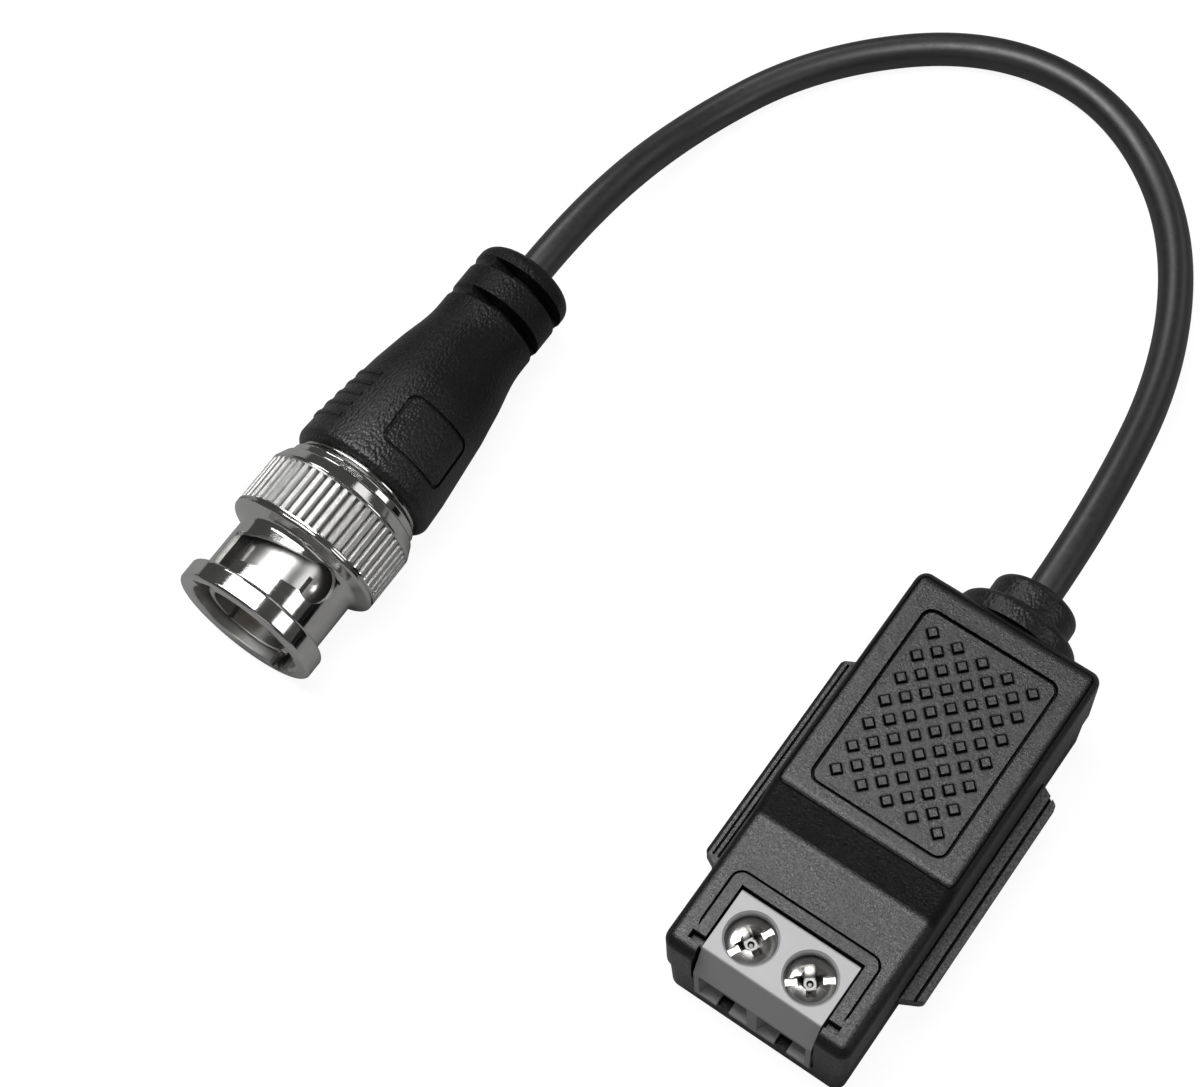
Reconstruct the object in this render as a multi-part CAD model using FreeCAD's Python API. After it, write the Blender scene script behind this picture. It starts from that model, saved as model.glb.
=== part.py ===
"""Passive video balun for security cameras.

A flat plastic housing with a two-pole screw terminal at its front end, and a
short coax lead from its rear wall to a bayonet plug.

Millimetres, +Z up. The housing lies along Y: its terminal end faces -Y and
its lead leaves towards +Y. The origin is at the middle of the housing's
underside, gland included, and "t" is the distance back from its front face.
"""
import FreeCAD
import Part
import math
import os

V = FreeCAD.Vector

# Housing
HOUSING_WIDTH = 15.8
HOUSING_LENGTH = 34.7
HOUSING_HEIGHT = 12.8
PARTING_HEIGHT = 6.0
WALL = 1.2
EDGE_RADIUS = 0.9
REAR_TOP_RADIUS = 1.25
DECK_DROP = 1.4
DECK_FRONT_RADIUS = 1.0
DECK_LENGTH = 11.67
RAMP_LENGTH = 2.93
RAMP_ROUND = 1.2

# Base shell
BASE_INSET = 0.15
BASE_TAPER = 0.1
BASE_BOTTOM_RADIUS = 0.6
BASE_FLOOR = 1.2
LIP_THICKNESS = 0.5
LIP_HEIGHT = 0.8
LIP_CLEARANCE = 0.08

# Studded panel on the cover
PANEL_START = 15.57
PANEL_LENGTH = 16.5
PANEL_WIDTH = 11.72
PANEL_CORNER = 1.0
PANEL_RECESS = 0.1
PANEL_GROOVE_WIDTH = 0.28
PANEL_GROOVE_DEPTH = 0.35
STUD_PITCH = 1.082
STUD_ROWS = 13
STUD_BASE = 0.92
STUD_TOP = 0.58
STUD_HEIGHT = 0.22

# Terminal window
WINDOW_GAP = 0.2
LEDGE_WIDTH = 0.87
LEDGE_GROOVE = 0.2
LEDGE_GROOVE_DEPTH = 0.3
LEDGE_ARM_FRONT = 1.9
NOTCH_LENGTH = 0.72
NOTCH_DEPTH = 1.0

# Side rails, by which baluns hook together
RAIL_REACH = 1.7
RAIL_START = 7.3
RAIL_END = 27.3
RAIL_END_SLANT = 0.9
HOOK_BOTTOM = 6.2
HOOK_THICKNESS = 1.8
HOOK_LIP_THICKNESS = 0.16
HOOK_LIP_DEPTH = 0.4
HOOK_LIP_INSET = 0.79
BASE_RAIL_THICKNESS = 1.6
RAIL_GROOVE_WIDTH = 0.25
RAIL_GROOVE_DEPTH = 0.55
STACK_GAP = 0.23
RIDGE_GROOVE = 0.2

# Terminal block
POLE_PITCH = 5.08
BLOCK_LENGTH = 6.37
BLOCK_TOP = 11.25
BLOCK_BROW_HEIGHT = 7.97
BLOCK_BROW_SETBACK = 1.13
BLOCK_STEP = 1.9
BLOCK_STEP_HEIGHT = 0.3
BLOCK_EDGE_RADIUS = 0.2
ENTRY_WIDTH = 4.2
ENTRY_BOTTOM = 3.4
ENTRY_TOP = 7.66
ENTRY_DEPTH = 1.4
ENTRY_NARROWING = 0.4
ENTRY_SLOT_WIDTH = 1.1
ENTRY_SLOT_LENGTH = 1.0

# Terminal screws
SCREW_T = 3.65
SCREW_HOLE_RADIUS = 1.95
SCREW_HOLE_LIP = 0.15
SCREW_HEAD_RADIUS = 1.82
SCREW_HEAD_THICKNESS = 1.0
SCREW_HEAD_CROWN = 0.4
SCREW_HEAD_DEPTH = 0.5
SCREW_SHAFT_RADIUS = 1.45
SCREW_THREAD_PITCH = 0.5
SCREW_TIP_GAP = 0.2
SLOT_WIDTH = 0.56
SLOT_DEPTH = 0.5
CROSS_WIDTH = 0.75
CROSS_LENGTH = 2.7
CROSS_FOOT_LENGTH = 0.9
CROSS_DEPTH = 1.1
CROSS_CORE_RADIUS = 0.8
CROSS_CORE_TIP = 0.15
CROSS_CORE_DEPTH = 1.35
SLOT_ANGLE_LEFT = 62.0
SLOT_ANGLE_RIGHT = 37.0
RUNNING_CLEARANCE = 0.05
SHELF_THICKNESS = 0.4

# Rising wire clamps, drawn fully open
CLAMP_WIDTH = 3.9
CLAMP_LENGTH = 3.4
CLAMP_BOTTOM = 3.4
CLAMP_HEIGHT = 3.7
CLAMP_SIDE = 0.6
CLAMP_FLOOR = 0.5
CLAMP_ROOF = 0.7
CLAMP_TRAVEL = 1.6
CLAMP_THREAD_MARGIN = 0.1
SLIDE_CLEARANCE = 0.15
PLAY = 0.3

# Contact bars
CONTACT_BOTTOM = 5.8
CONTACT_THICKNESS = 0.5
CONTACT_PIN_WIDTH = 0.9
CONTACT_PIN_LENGTH = 2.3

# Circuit board and what stands on it
BOARD_THICKNESS = 1.0
BOARD_BOSS_HEIGHT = 0.4
BOARD_BOSS_RADIUS = 1.0
BOARD_END = 31.0
BOARD_EDGE_GAP = 0.3
POST_RADIUS = 0.8
POST_T = 29.0
CORE_T = 19.5
CORE_OUTER_RADIUS = 3.4
CORE_INNER_RADIUS = 1.7
CORE_HEIGHT = 3.2
WINDING_THICKNESS = 0.35
WINDING_SPREAD = 140.0
WINDING_LEAD_RADIUS = 0.2
SURGE_T = 12.3
SURGE_SIZE = (2.6, 3.6, 2.2)
CAPACITOR_SIZE = (1.25, 2.0, 0.9)
CHIP_OFFSET = 3.2

# Gland
GLAND_FLANGE_RADIUS = 5.1
GLAND_TOP_MARGIN = 0.4
GLAND_FLANGE_THICKNESS = 1.96
GLAND_FLANGE_ROUND = 0.8
GLAND_COLLAR_RADIUS = 3.6
GLAND_COLLAR_LENGTH = 2.7
GLAND_COLLAR_ROUND = 0.8
GLAND_NECK_RADIUS = 3.1
GLAND_ROOF_GAP = 0.4
GLAND_INNER_THICKNESS = 1.2

# Coax lead
CABLE_DIAMETER = 2.9
TAIL_INSIDE = 1.7
CORE_LEAD_RADIUS = 0.35
SHIELD_LEAD_RADIUS = 0.3
SHIELD_LEAD_START = 0.95
SHIELD_LEAD_SIDE = 3.0
SHIELD_LEAD_DROP = 2.0
LEAD_BEND_DISTANCE = 2.0
LEAD_BELOW_BOARD = 0.3

# Plug, along its own axis from the coupling nut's front face
PLUG_X = -49.5
PLUG_FRONT_Y = -16.7
PLUG_FLOOR_CLEARANCE = 0.02
NUT_LENGTH = 14.2
NUT_FLANGE_RADIUS = 6.3
NUT_FLANGE_LENGTH = 1.85
NUT_SLEEVE_RADIUS = 5.4
NUT_KNURL_RADIUS = 6.7
NUT_KNURL_START = 7.9
NUT_KNURL_LENGTH = 4.1
NUT_KNURL_RIBS = 54
NUT_KNURL_DEPTH = 0.3
NUT_KNURL_GROOVE = 0.44
NUT_FLARE_LENGTH = 0.6
NUT_FRONT_RING_WIDTH = 0.2
NUT_FRONT_RING_DEPTH = 0.2
NUT_REAR_BAND = 0.3
NUT_REAR_SLOPE = 1.0
NUT_REAR_DROP = 0.45
NUT_REAR_STEP = 0.2
NUT_REAR_RADIUS = 5.9
NUT_BORE_RADIUS = 4.925
NUT_CHAMBER_RADIUS = 5.4
NUT_CHAMBER_START = 7.4
BAYONET_WIDTH = 2.5
BAYONET_SEAT_RADIUS = 1.6
BAYONET_SEAT_S = 5.25
BAYONET_START_S = 4.1
BAYONET_TURN = 80.0
BAYONET_SEAT_ANGLE = 46.0
LUG_RADIUS = 5.6
CONTACT_SLEEVE_RADIUS = 4.05
CONTACT_SLEEVE_BORE = 3.45
CONTACT_SLEEVE_START = 0.8
BODY_COLLAR_RADIUS = 5.1
BODY_COLLAR_START = 7.75
BODY_COLLAR_THICKNESS = 1.4
BODY_BARREL_RADIUS = 4.2
BODY_FLANGE_RADIUS = 5.5
BODY_FLANGE_GAP = 0.25
BODY_FLANGE_THICKNESS = 0.9
BODY_REAR_RADIUS = 3.9
BODY_REAR_END = 20.0
SPIGOT_RADIUS = 1.9
SPIGOT_END = 26.4
CONTACT_FLOOR_S = 7.2
INSULATOR_RADIUS = 2.4
INSULATOR_FRONT_S = 5.6
INSULATOR_END_S = 14.0
PIN_RADIUS = 0.675
PIN_REAR_RADIUS = 0.85
PIN_FRONT_S = 2.4
DIELECTRIC_RADIUS = 1.1
FERRULE_WALL = 0.5
FERRULE_TAIL = 1.8
GASKET_THICKNESS = 0.7
GASKET_RADIUS = 4.6
SPRING_HEIGHT = 0.5
SPRING_SHEET = 0.18
SPRING_WAVES = 3
NUT_PULL = 0.5
SPRING_MARGIN = 0.1
RING_THICKNESS = 0.5
RING_FACE_GAP = 0.05

# Moulded boot of the plug
BOOT_FRONT_S = 14.7
BOOT_LENGTH = 23.1
BOOT_FRONT_RADIUS = 6.35
BOOT_FRONT_ROUND = 0.8
BOOT_SHOULDER_S = 3.1
BOOT_SHOULDER_RADIUS = 6.18
BOOT_SHOULDER_ROUND = 4.0
BOOT_WAIST_S = 9.15
BOOT_WAIST_RADIUS = 5.5
BOOT_WAIST_ROUND = 8.0
BOOT_NECK_S = 12.2
BOOT_NECK_RADIUS = 4.98
BOOT_NECK_ROUND = 12.0
BOOT_TAIL_S = 15.2
BOOT_TAIL_RADIUS = 4.3
BOOT_TAIL_START_ROUND = 10.0
BOOT_TAIL_ROUND = 1.1
BOOT_SLOT_WIDTH = 1.05
BOOT_SLOT_FLOOR = 1.55
BOOT_SLOT_CORE = 2.3
BOOT_SLOT_ANGLE = 44.0
BOOT_SLOT_LAST = 2.1
BOOT_SLOT_PITCH = 3.15
BOOT_RING_DEPTH = 0.15
BOOT_RING_WIDTH = 0.9
BOOT_RIDGES = 5
BOOT_RIDGE_PITCH = 1.2
BOOT_RIDGE_FIRST = 2.5
BOOT_RIDGE_HEIGHT = 0.1
BOOT_RIDGE_ANGLE = -49.0
BOOT_RIDGE_SPAN = 46.0
PAD_START = 2.35
PAD_END = 7.35
PAD_ANGLE = 42.0
PAD_WIDTH = 6.5
PAD_CORNER = 0.9
PAD_LINE = 0.3
PAD_LINE_DEPTH = 0.18

# Places that follow from the sizes above
OVERALL_LENGTH = HOUSING_LENGTH + GLAND_FLANGE_THICKNESS + GLAND_COLLAR_LENGTH
FRONT_Y = -OVERALL_LENGTH / 2.0
REAR_Y = FRONT_Y + HOUSING_LENGTH
GLAND_END_Y = OVERALL_LENGTH / 2.0
HALF_WIDTH = HOUSING_WIDTH / 2.0
DECK_HEIGHT = HOUSING_HEIGHT - DECK_DROP
PANEL_HEIGHT = HOUSING_HEIGHT - PANEL_RECESS
CAVITY_HALF = HALF_WIDTH - WALL
LIP_OUTER_HALF = CAVITY_HALF - LIP_CLEARANCE
BASE_CAVITY_HALF = LIP_OUTER_HALF - LIP_THICKNESS
BASE_CAVITY_FRONT = WALL + LIP_CLEARANCE + LIP_THICKNESS
BOARD_BOTTOM = BASE_FLOOR + BOARD_BOSS_HEIGHT
BOARD_TOP = BOARD_BOTTOM + BOARD_THICKNESS
BOARD_HALF = BASE_CAVITY_HALF - BOARD_EDGE_GAP
BLOCK_HALF = POLE_PITCH
WINDOW_HALF = BLOCK_HALF + WINDOW_GAP
WINDOW_REAR = BLOCK_LENGTH + WINDOW_GAP
SILL_HEIGHT = BOARD_TOP + BLOCK_STEP_HEIGHT - 0.05
POLES = {"left": -POLE_PITCH / 2.0, "right": POLE_PITCH / 2.0}
SHAFT_HOLE_RADIUS = SCREW_SHAFT_RADIUS + RUNNING_CLEARANCE
HEAD_TOP = BLOCK_TOP - SCREW_HEAD_DEPTH
HEAD_BOTTOM = HEAD_TOP - SCREW_HEAD_THICKNESS
SHELF_TOP = HEAD_BOTTOM - RUNNING_CLEARANCE
SHELF_BOTTOM = SHELF_TOP - SHELF_THICKNESS
CONTACT_TOP = CONTACT_BOTTOM + CONTACT_THICKNESS
CONTACT_WIDTH = CLAMP_WIDTH - 2.0 * CLAMP_SIDE - 2.0 * PLAY
CLAMP_REAR_T = SCREW_T + CLAMP_LENGTH / 2.0
CONTACT_LEG_T = CLAMP_REAR_T + PLAY
CLAMP_THREAD_START = CONTACT_TOP + SCREW_TIP_GAP - CLAMP_TRAVEL - CLAMP_THREAD_MARGIN
CABLE_RADIUS = CABLE_DIAMETER / 2.0
GLAND_HEIGHT = HOUSING_HEIGHT - GLAND_FLANGE_RADIUS - GLAND_TOP_MARGIN
GLAND_INNER_RADIUS = HOUSING_HEIGHT - WALL - GLAND_ROOF_GAP - GLAND_HEIGHT
GLAND_INNER_T = HOUSING_LENGTH - WALL - GLAND_INNER_THICKNESS
TAIL_END_T = GLAND_INNER_T - TAIL_INSIDE
PLUG_Z = NUT_KNURL_RADIUS + PLUG_FLOOR_CLEARANCE
COLLAR_REAR_S = BODY_COLLAR_START + BODY_COLLAR_THICKNESS
RING_FRONT_S = COLLAR_REAR_S + SPRING_HEIGHT + NUT_PULL + SPRING_MARGIN
NUT_SHOULDER_S = RING_FRONT_S + RING_THICKNESS + RING_FACE_GAP
BODY_FLANGE_S = NUT_LENGTH + BODY_FLANGE_GAP
FLANGE_REAR_S = BODY_FLANGE_S + BODY_FLANGE_THICKNESS
FERRULE_END_S = SPIGOT_END + FERRULE_TAIL
BOOT_END_S = BOOT_FRONT_S + BOOT_LENGTH
BOOT_END_Y = PLUG_FRONT_Y + BOOT_END_S

# The free lead's route, from the gland's end to the boot's end
CABLE_ROUTE = [
    (0.0, GLAND_END_Y, GLAND_HEIGHT),
    (0.0, 28.75, GLAND_HEIGHT),
    (-2.7, 45.65, 3.6),
    (-9.9, 59.15, 1.47),
    (-20.9, 66.05, 1.47),
    (-32.8, 64.65, 1.47),
    (-43.7, 54.95, 1.47),
    (-49.0, 42.55, 2.0),
    (PLUG_X, 28.75, PLUG_Z),
    (PLUG_X, BOOT_END_Y, PLUG_Z),
]


def y_at(t):
    """Y of a place t behind the housing's front face."""
    return FRONT_Y + t


def block(x_range, y_range, z_range):
    """A box between three pairs of limits."""
    size = [hi - lo for lo, hi in (x_range, y_range, z_range)]
    corner = V(x_range[0], y_range[0], z_range[0])
    return Part.makeBox(size[0], size[1], size[2], corner)


def rod(radius, start, direction, length):
    """A cylinder from a start point along a direction."""
    return Part.makeCylinder(radius, length, V(*start), V(*direction))


def outline(corners):
    """Closed wire through (point, radius) corners, rounded where the radius isn't zero."""
    count = len(corners)
    ends = []
    for i in range(count):
        point, radius = corners[i]
        if radius == 0.0:
            ends.append((point, None, point))
            continue
        back = (corners[i - 1][0] - point).normalize()
        ahead = (corners[(i + 1) % count][0] - point).normalize()
        half = back.getAngle(ahead) / 2.0
        cut = radius / math.tan(half)
        middle = (back + ahead).normalize()
        crown = point + middle * (radius / math.sin(half) - radius)
        ends.append((point + back * cut, crown, point + ahead * cut))
    edges = []
    for i in range(count):
        start, crown, stop = ends[i]
        if crown is not None:
            edges.append(Part.Arc(start, crown, stop).toShape())
        following = ends[(i + 1) % count][0]
        if stop.distanceToPoint(following) > 1e-6:
            edges.append(Part.LineSegment(stop, following).toShape())
    return Part.Wire(edges)


def side_prism(points, half_width):
    """Solid from a (t, z, radius) side profile, the same on both sides of X = 0."""
    corners = [(V(-half_width, y_at(t), z), r) for t, z, r in points]
    return Part.Face(outline(corners)).extrude(V(2.0 * half_width, 0, 0))


def front_prism(points, t_range):
    """Solid from an (x, z) front profile between two distances from the front face."""
    corners = [(V(x, y_at(t_range[0]), z), 0.0) for x, z in points]
    return Part.Face(outline(corners)).extrude(V(0, t_range[1] - t_range[0], 0))


def plan_prism(points, z_range):
    """Solid from an (x, t, radius) plan profile between two heights."""
    corners = [(V(x, y_at(t), z_range[0]), r) for x, t, r in points]
    return Part.Face(outline(corners)).extrude(V(0, 0, z_range[1] - z_range[0]))


def plan_rect(half_width, t_range, radius, z_range):
    """Upright prism on a rounded rectangle that is centred on X = 0."""
    points = [
        (-half_width, t_range[0], radius),
        (half_width, t_range[0], radius),
        (half_width, t_range[1], radius),
        (-half_width, t_range[1], radius),
    ]
    return plan_prism(points, z_range)


def turned(profile, x, y, z, angle=360.0, start=0.0):
    """Solid of revolution about a line along +Y, from (s, r, rounding) points.

    The start angle is measured from the top towards +X.
    """
    corners = [(V(x, y + s, z + r), rounding) for s, r, rounding in profile]
    face = Part.Face(outline(corners))
    axis_point = V(x, y, z)
    face.rotate(axis_point, V(0, 1, 0), start)
    return face.revolve(axis_point, V(0, 1, 0), angle)


def plug_turned(profile, angle=360.0, start=0.0):
    """Solid of revolution about the plug's axis."""
    return turned(profile, PLUG_X, PLUG_FRONT_Y, PLUG_Z, angle, start)


def plug_tube(s_range, outer, inner):
    """Plain ring on the plug's axis."""
    points = [(s_range[0], inner), (s_range[0], outer), (s_range[1], outer), (s_range[1], inner)]
    return plug_turned([(s, r, 0.0) for s, r in points])


def plug_rod(s_range, radius):
    """Plain cylinder on the plug's axis."""
    start = (PLUG_X, PLUG_FRONT_Y + s_range[0], PLUG_Z)
    return rod(radius, start, (0, 1, 0), s_range[1] - s_range[0])


def about_plug(shape, angle):
    """The shape turned about the plug's axis, from the top towards +X."""
    turned_shape = shape.copy()
    turned_shape.rotate(V(PLUG_X, PLUG_FRONT_Y, PLUG_Z), V(0, 1, 0), angle)
    return turned_shape


def route_wire(points, report=None):
    """Straight runs joined by tangent arcs; prints the arcs' radii when named."""
    points = [V(*p) for p in points]
    edges = []
    radii = []
    last = points[0]
    for i in range(1, len(points) - 1):
        back = points[i - 1] - points[i]
        ahead = points[i + 1] - points[i]
        cut = 0.45 * min(back.Length, ahead.Length)
        half_turn = (math.pi - back.getAngle(ahead)) / 2.0
        back.normalize()
        ahead.normalize()
        radius = cut / math.tan(half_turn)
        start = points[i] + back * cut
        stop = points[i] + ahead * cut
        middle = (back + ahead).normalize()
        crown = points[i] + middle * (radius / math.cos(half_turn) - radius)
        edges.append(Part.LineSegment(last, start).toShape())
        edges.append(Part.Arc(start, crown, stop).toShape())
        radii.append(radius)
        last = stop
    edges.append(Part.LineSegment(last, points[-1]).toShape())
    if report:
        print(report, "bend radii:", " ".join("%.1f" % r for r in radii))
    return Part.Wire(edges)


def tube(points, radius, report=None):
    """Round tube along a route."""
    path = route_wire(points, report)
    direction = V(*points[1]) - V(*points[0])
    section = Part.Wire([Part.Circle(V(*points[0]), direction, radius).toShape()])
    solid = path.makePipeShell([section], True, True)
    if report:
        expected = path.Length * math.pi * radius ** 2
        print(report, "length %.1f volume %.1f of %.1f" % (path.Length, solid.Volume, expected))
    return solid


def cover_outside():
    """Outer form of the cover: rounded deck, ramp and top."""
    ramp_top = DECK_LENGTH + RAMP_LENGTH
    form = side_prism(
        [
            (0.0, PARTING_HEIGHT, 0.0),
            (0.0, DECK_HEIGHT, DECK_FRONT_RADIUS),
            (DECK_LENGTH, DECK_HEIGHT, RAMP_ROUND),
            (ramp_top, HOUSING_HEIGHT, RAMP_ROUND),
            (HOUSING_LENGTH, HOUSING_HEIGHT, REAR_TOP_RADIUS),
            (HOUSING_LENGTH, PARTING_HEIGHT, 0.0),
        ],
        HALF_WIDTH,
    )
    rim = []
    for edge in form.Edges:
        box = edge.BoundBox
        on_side = abs(box.XMin - box.XMax) < 1e-6
        on_parting = box.ZMax < PARTING_HEIGHT + 1e-6
        if on_side and not on_parting:
            rim.append(edge)
    return form.makeFillet(EDGE_RADIUS, rim)


def cover_inside():
    """Hollow of the cover, one wall thickness in."""
    roof = HOUSING_HEIGHT - WALL
    deck_roof = DECK_HEIGHT - WALL
    ramp_top = DECK_LENGTH + RAMP_LENGTH
    return side_prism(
        [
            (WALL, PARTING_HEIGHT - 1.0, 0.0),
            (WALL, deck_roof, 0.0),
            (DECK_LENGTH + WALL / 2.0, deck_roof, 0.0),
            (ramp_top + WALL / 2.0, roof, 0.0),
            (HOUSING_LENGTH - WALL, roof, 0.0),
            (HOUSING_LENGTH - WALL, PARTING_HEIGHT - 1.0, 0.0),
        ],
        CAVITY_HALF,
    )


def stud(x, t):
    """One small raised square, turned 45 degrees, with tapered flanks."""
    wires = []
    for size, z in ((STUD_BASE, PANEL_HEIGHT - 0.02), (STUD_TOP, PANEL_HEIGHT + STUD_HEIGHT)):
        reach = size / math.sqrt(2.0)
        places = [(reach, 0.0), (0.0, reach), (-reach, 0.0), (0.0, -reach)]
        points = [V(x + dx, y_at(t) + dy, z) for dx, dy in places]
        wires.append(Part.makePolygon(points + [points[0]]))
    return Part.makeLoft(wires, True, True)


def studs():
    """Rows of five and four studs, staggered."""
    solids = []
    middle = PANEL_START + PANEL_LENGTH / 2.0
    for row in range(STUD_ROWS):
        t = middle + (row - (STUD_ROWS - 1) / 2.0) * STUD_PITCH
        across = 5 - row % 2
        for k in range(across):
            x = (k - (across - 1) / 2.0) * 2.0 * STUD_PITCH
            solids.append(stud(x, t))
    return solids


def hook_rail():
    """Overhanging rail on the cover's left side, with a thin lip under its edge."""
    root = -(HALF_WIDTH - WALL / 2.0)
    edge = -(HALF_WIDTH + RAIL_REACH)
    top = HOOK_BOTTOM + HOOK_THICKNESS
    lip_outer = edge + HOOK_LIP_INSET
    lip_inner = lip_outer + HOOK_LIP_THICKNESS
    lip_foot = HOOK_BOTTOM - HOOK_LIP_DEPTH
    section = [
        (root, HOOK_BOTTOM),
        (root, top),
        (edge + 0.3, top),
        (edge, top - 0.3),
        (edge, HOOK_BOTTOM),
        (lip_outer, HOOK_BOTTOM),
        (lip_outer, lip_foot),
        (lip_inner, lip_foot),
        (lip_inner, HOOK_BOTTOM),
    ]
    rail = front_prism(section, (RAIL_START, RAIL_END))
    rail = rail.common(rail_plan(-1.0))
    for x in (edge + 0.55, edge + 1.0):
        slot = block(
            (x, x + RIDGE_GROOVE),
            (y_at(RAIL_START + RAIL_END_SLANT), y_at(RAIL_END - RAIL_END_SLANT)),
            (top - 0.15, top + 1.0),
        )
        rail = rail.cut(slot)
    return rail


def rail_plan(side):
    """Tapering plan that both rails share; side is -1 for left and 1 for right."""
    root = side * (HALF_WIDTH - WALL)
    start = side * HALF_WIDTH
    edge = side * (HALF_WIDTH + RAIL_REACH)
    points = [
        (root, RAIL_START, 0.0),
        (start, RAIL_START, 0.0),
        (edge, RAIL_START + RAIL_END_SLANT, 0.3),
        (edge, RAIL_END - RAIL_END_SLANT, 0.3),
        (start, RAIL_END, 0.0),
        (root, RAIL_END, 0.0),
    ]
    return plan_prism(points, (0.0, HOUSING_HEIGHT))


def make_top_cover():
    """Cover: studded panel, sloped step, terminal window and hook rail."""
    cover = cover_outside().cut(cover_inside())
    half = PANEL_WIDTH / 2.0
    panel = (PANEL_START, PANEL_START + PANEL_LENGTH)
    cover = cover.cut(plan_rect(half, panel, PANEL_CORNER, (PANEL_HEIGHT, HOUSING_HEIGHT + 1.0)))
    groove_floor = PANEL_HEIGHT - PANEL_GROOVE_DEPTH
    island = (panel[0] + PANEL_GROOVE_WIDTH, panel[1] - PANEL_GROOVE_WIDTH)
    inner_corner = PANEL_CORNER - PANEL_GROOVE_WIDTH
    groove = plan_rect(half, panel, PANEL_CORNER, (groove_floor, HOUSING_HEIGHT))
    groove = groove.cut(
        plan_rect(half - PANEL_GROOVE_WIDTH, island, inner_corner, (0.0, HOUSING_HEIGHT + 1.0))
    )
    cover = cover.cut(groove)
    window = block(
        (-WINDOW_HALF, WINDOW_HALF),
        (FRONT_Y - 1.0, y_at(WINDOW_REAR)),
        (0.0, HOUSING_HEIGHT),
    )
    outer_half = WINDOW_HALF + LEDGE_WIDTH
    ledge_rear = WINDOW_REAR + LEDGE_WIDTH
    ledge_line = plan_rect(
        outer_half + LEDGE_GROOVE,
        (LEDGE_ARM_FRONT, ledge_rear + LEDGE_GROOVE),
        1.0,
        (DECK_HEIGHT - LEDGE_GROOVE_DEPTH, DECK_HEIGHT + 1.0),
    )
    ledge_line = ledge_line.cut(
        plan_rect(outer_half, (LEDGE_ARM_FRONT - 2.0, ledge_rear), 0.8, (0.0, HOUSING_HEIGHT))
    )
    notches = block(
        (-outer_half - LEDGE_GROOVE, outer_half + LEDGE_GROOVE),
        (y_at(LEDGE_ARM_FRONT - NOTCH_LENGTH), y_at(LEDGE_ARM_FRONT)),
        (DECK_HEIGHT - NOTCH_DEPTH, HOUSING_HEIGHT),
    )
    cover = cover.cut(window).cut(ledge_line).cut(notches)
    cover = cover.fuse(hook_rail())
    cover = cover.cut(gland_hole())
    ceiling = HOUSING_HEIGHT - WALL
    for side in (-1.0, 1.0):
        post = rod(
            POST_RADIUS,
            (side * post_x(), y_at(POST_T), BOARD_TOP),
            (0, 0, 1),
            ceiling - BOARD_TOP + 0.1,
        )
        cover = cover.fuse(post)
    return cover.fuse(studs()).removeSplitter()


def post_x():
    """X of the two posts that hold the board down."""
    return BOARD_HALF - POST_RADIUS


def gland_hole():
    """Round hole for the gland's neck, shared by both shells."""
    start = (0.0, y_at(HOUSING_LENGTH - WALL - 2.0), GLAND_HEIGHT)
    return rod(GLAND_NECK_RADIUS, start, (0, 1, 0), WALL + 4.0)


def base_outside():
    """Outer form of the base, narrower towards its floor."""
    wires = []
    for inset, z in ((BASE_INSET + BASE_TAPER, 0.0), (BASE_INSET, PARTING_HEIGHT)):
        half = HALF_WIDTH - inset
        span = (inset, HOUSING_LENGTH - inset)
        points = [
            (-half, span[0]),
            (half, span[0]),
            (half, span[1]),
            (-half, span[1]),
        ]
        wires.append(outline([(V(x, y_at(t), z), EDGE_RADIUS) for x, t in points]))
    form = Part.makeLoft(wires, True, True)
    foot = [e for e in form.Edges if e.BoundBox.ZMax < 1e-6]
    return form.makeFillet(BASE_BOTTOM_RADIUS, foot)


def base_rail():
    """Grooved rail on the base's right side, level with the parting line."""
    root = HALF_WIDTH - WALL
    edge = HALF_WIDTH + RAIL_REACH
    neighbour = HOUSING_WIDTH + RAIL_REACH + STACK_GAP
    lip_middle = neighbour - edge + HOOK_LIP_INSET + HOOK_LIP_THICKNESS / 2.0
    groove = (lip_middle - RAIL_GROOVE_WIDTH / 2.0, lip_middle + RAIL_GROOVE_WIDTH / 2.0)
    foot = PARTING_HEIGHT - BASE_RAIL_THICKNESS
    section = [
        (root, foot),
        (edge - 0.3, foot),
        (edge, foot + 0.3),
        (edge, PARTING_HEIGHT - 0.2),
        (groove[1], PARTING_HEIGHT),
        (groove[1], PARTING_HEIGHT - RAIL_GROOVE_DEPTH),
        (groove[0], PARTING_HEIGHT - RAIL_GROOVE_DEPTH),
        (groove[0], PARTING_HEIGHT),
        (root, PARTING_HEIGHT),
    ]
    return front_prism(section, (RAIL_START, RAIL_END)).common(rail_plan(1.0))


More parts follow.
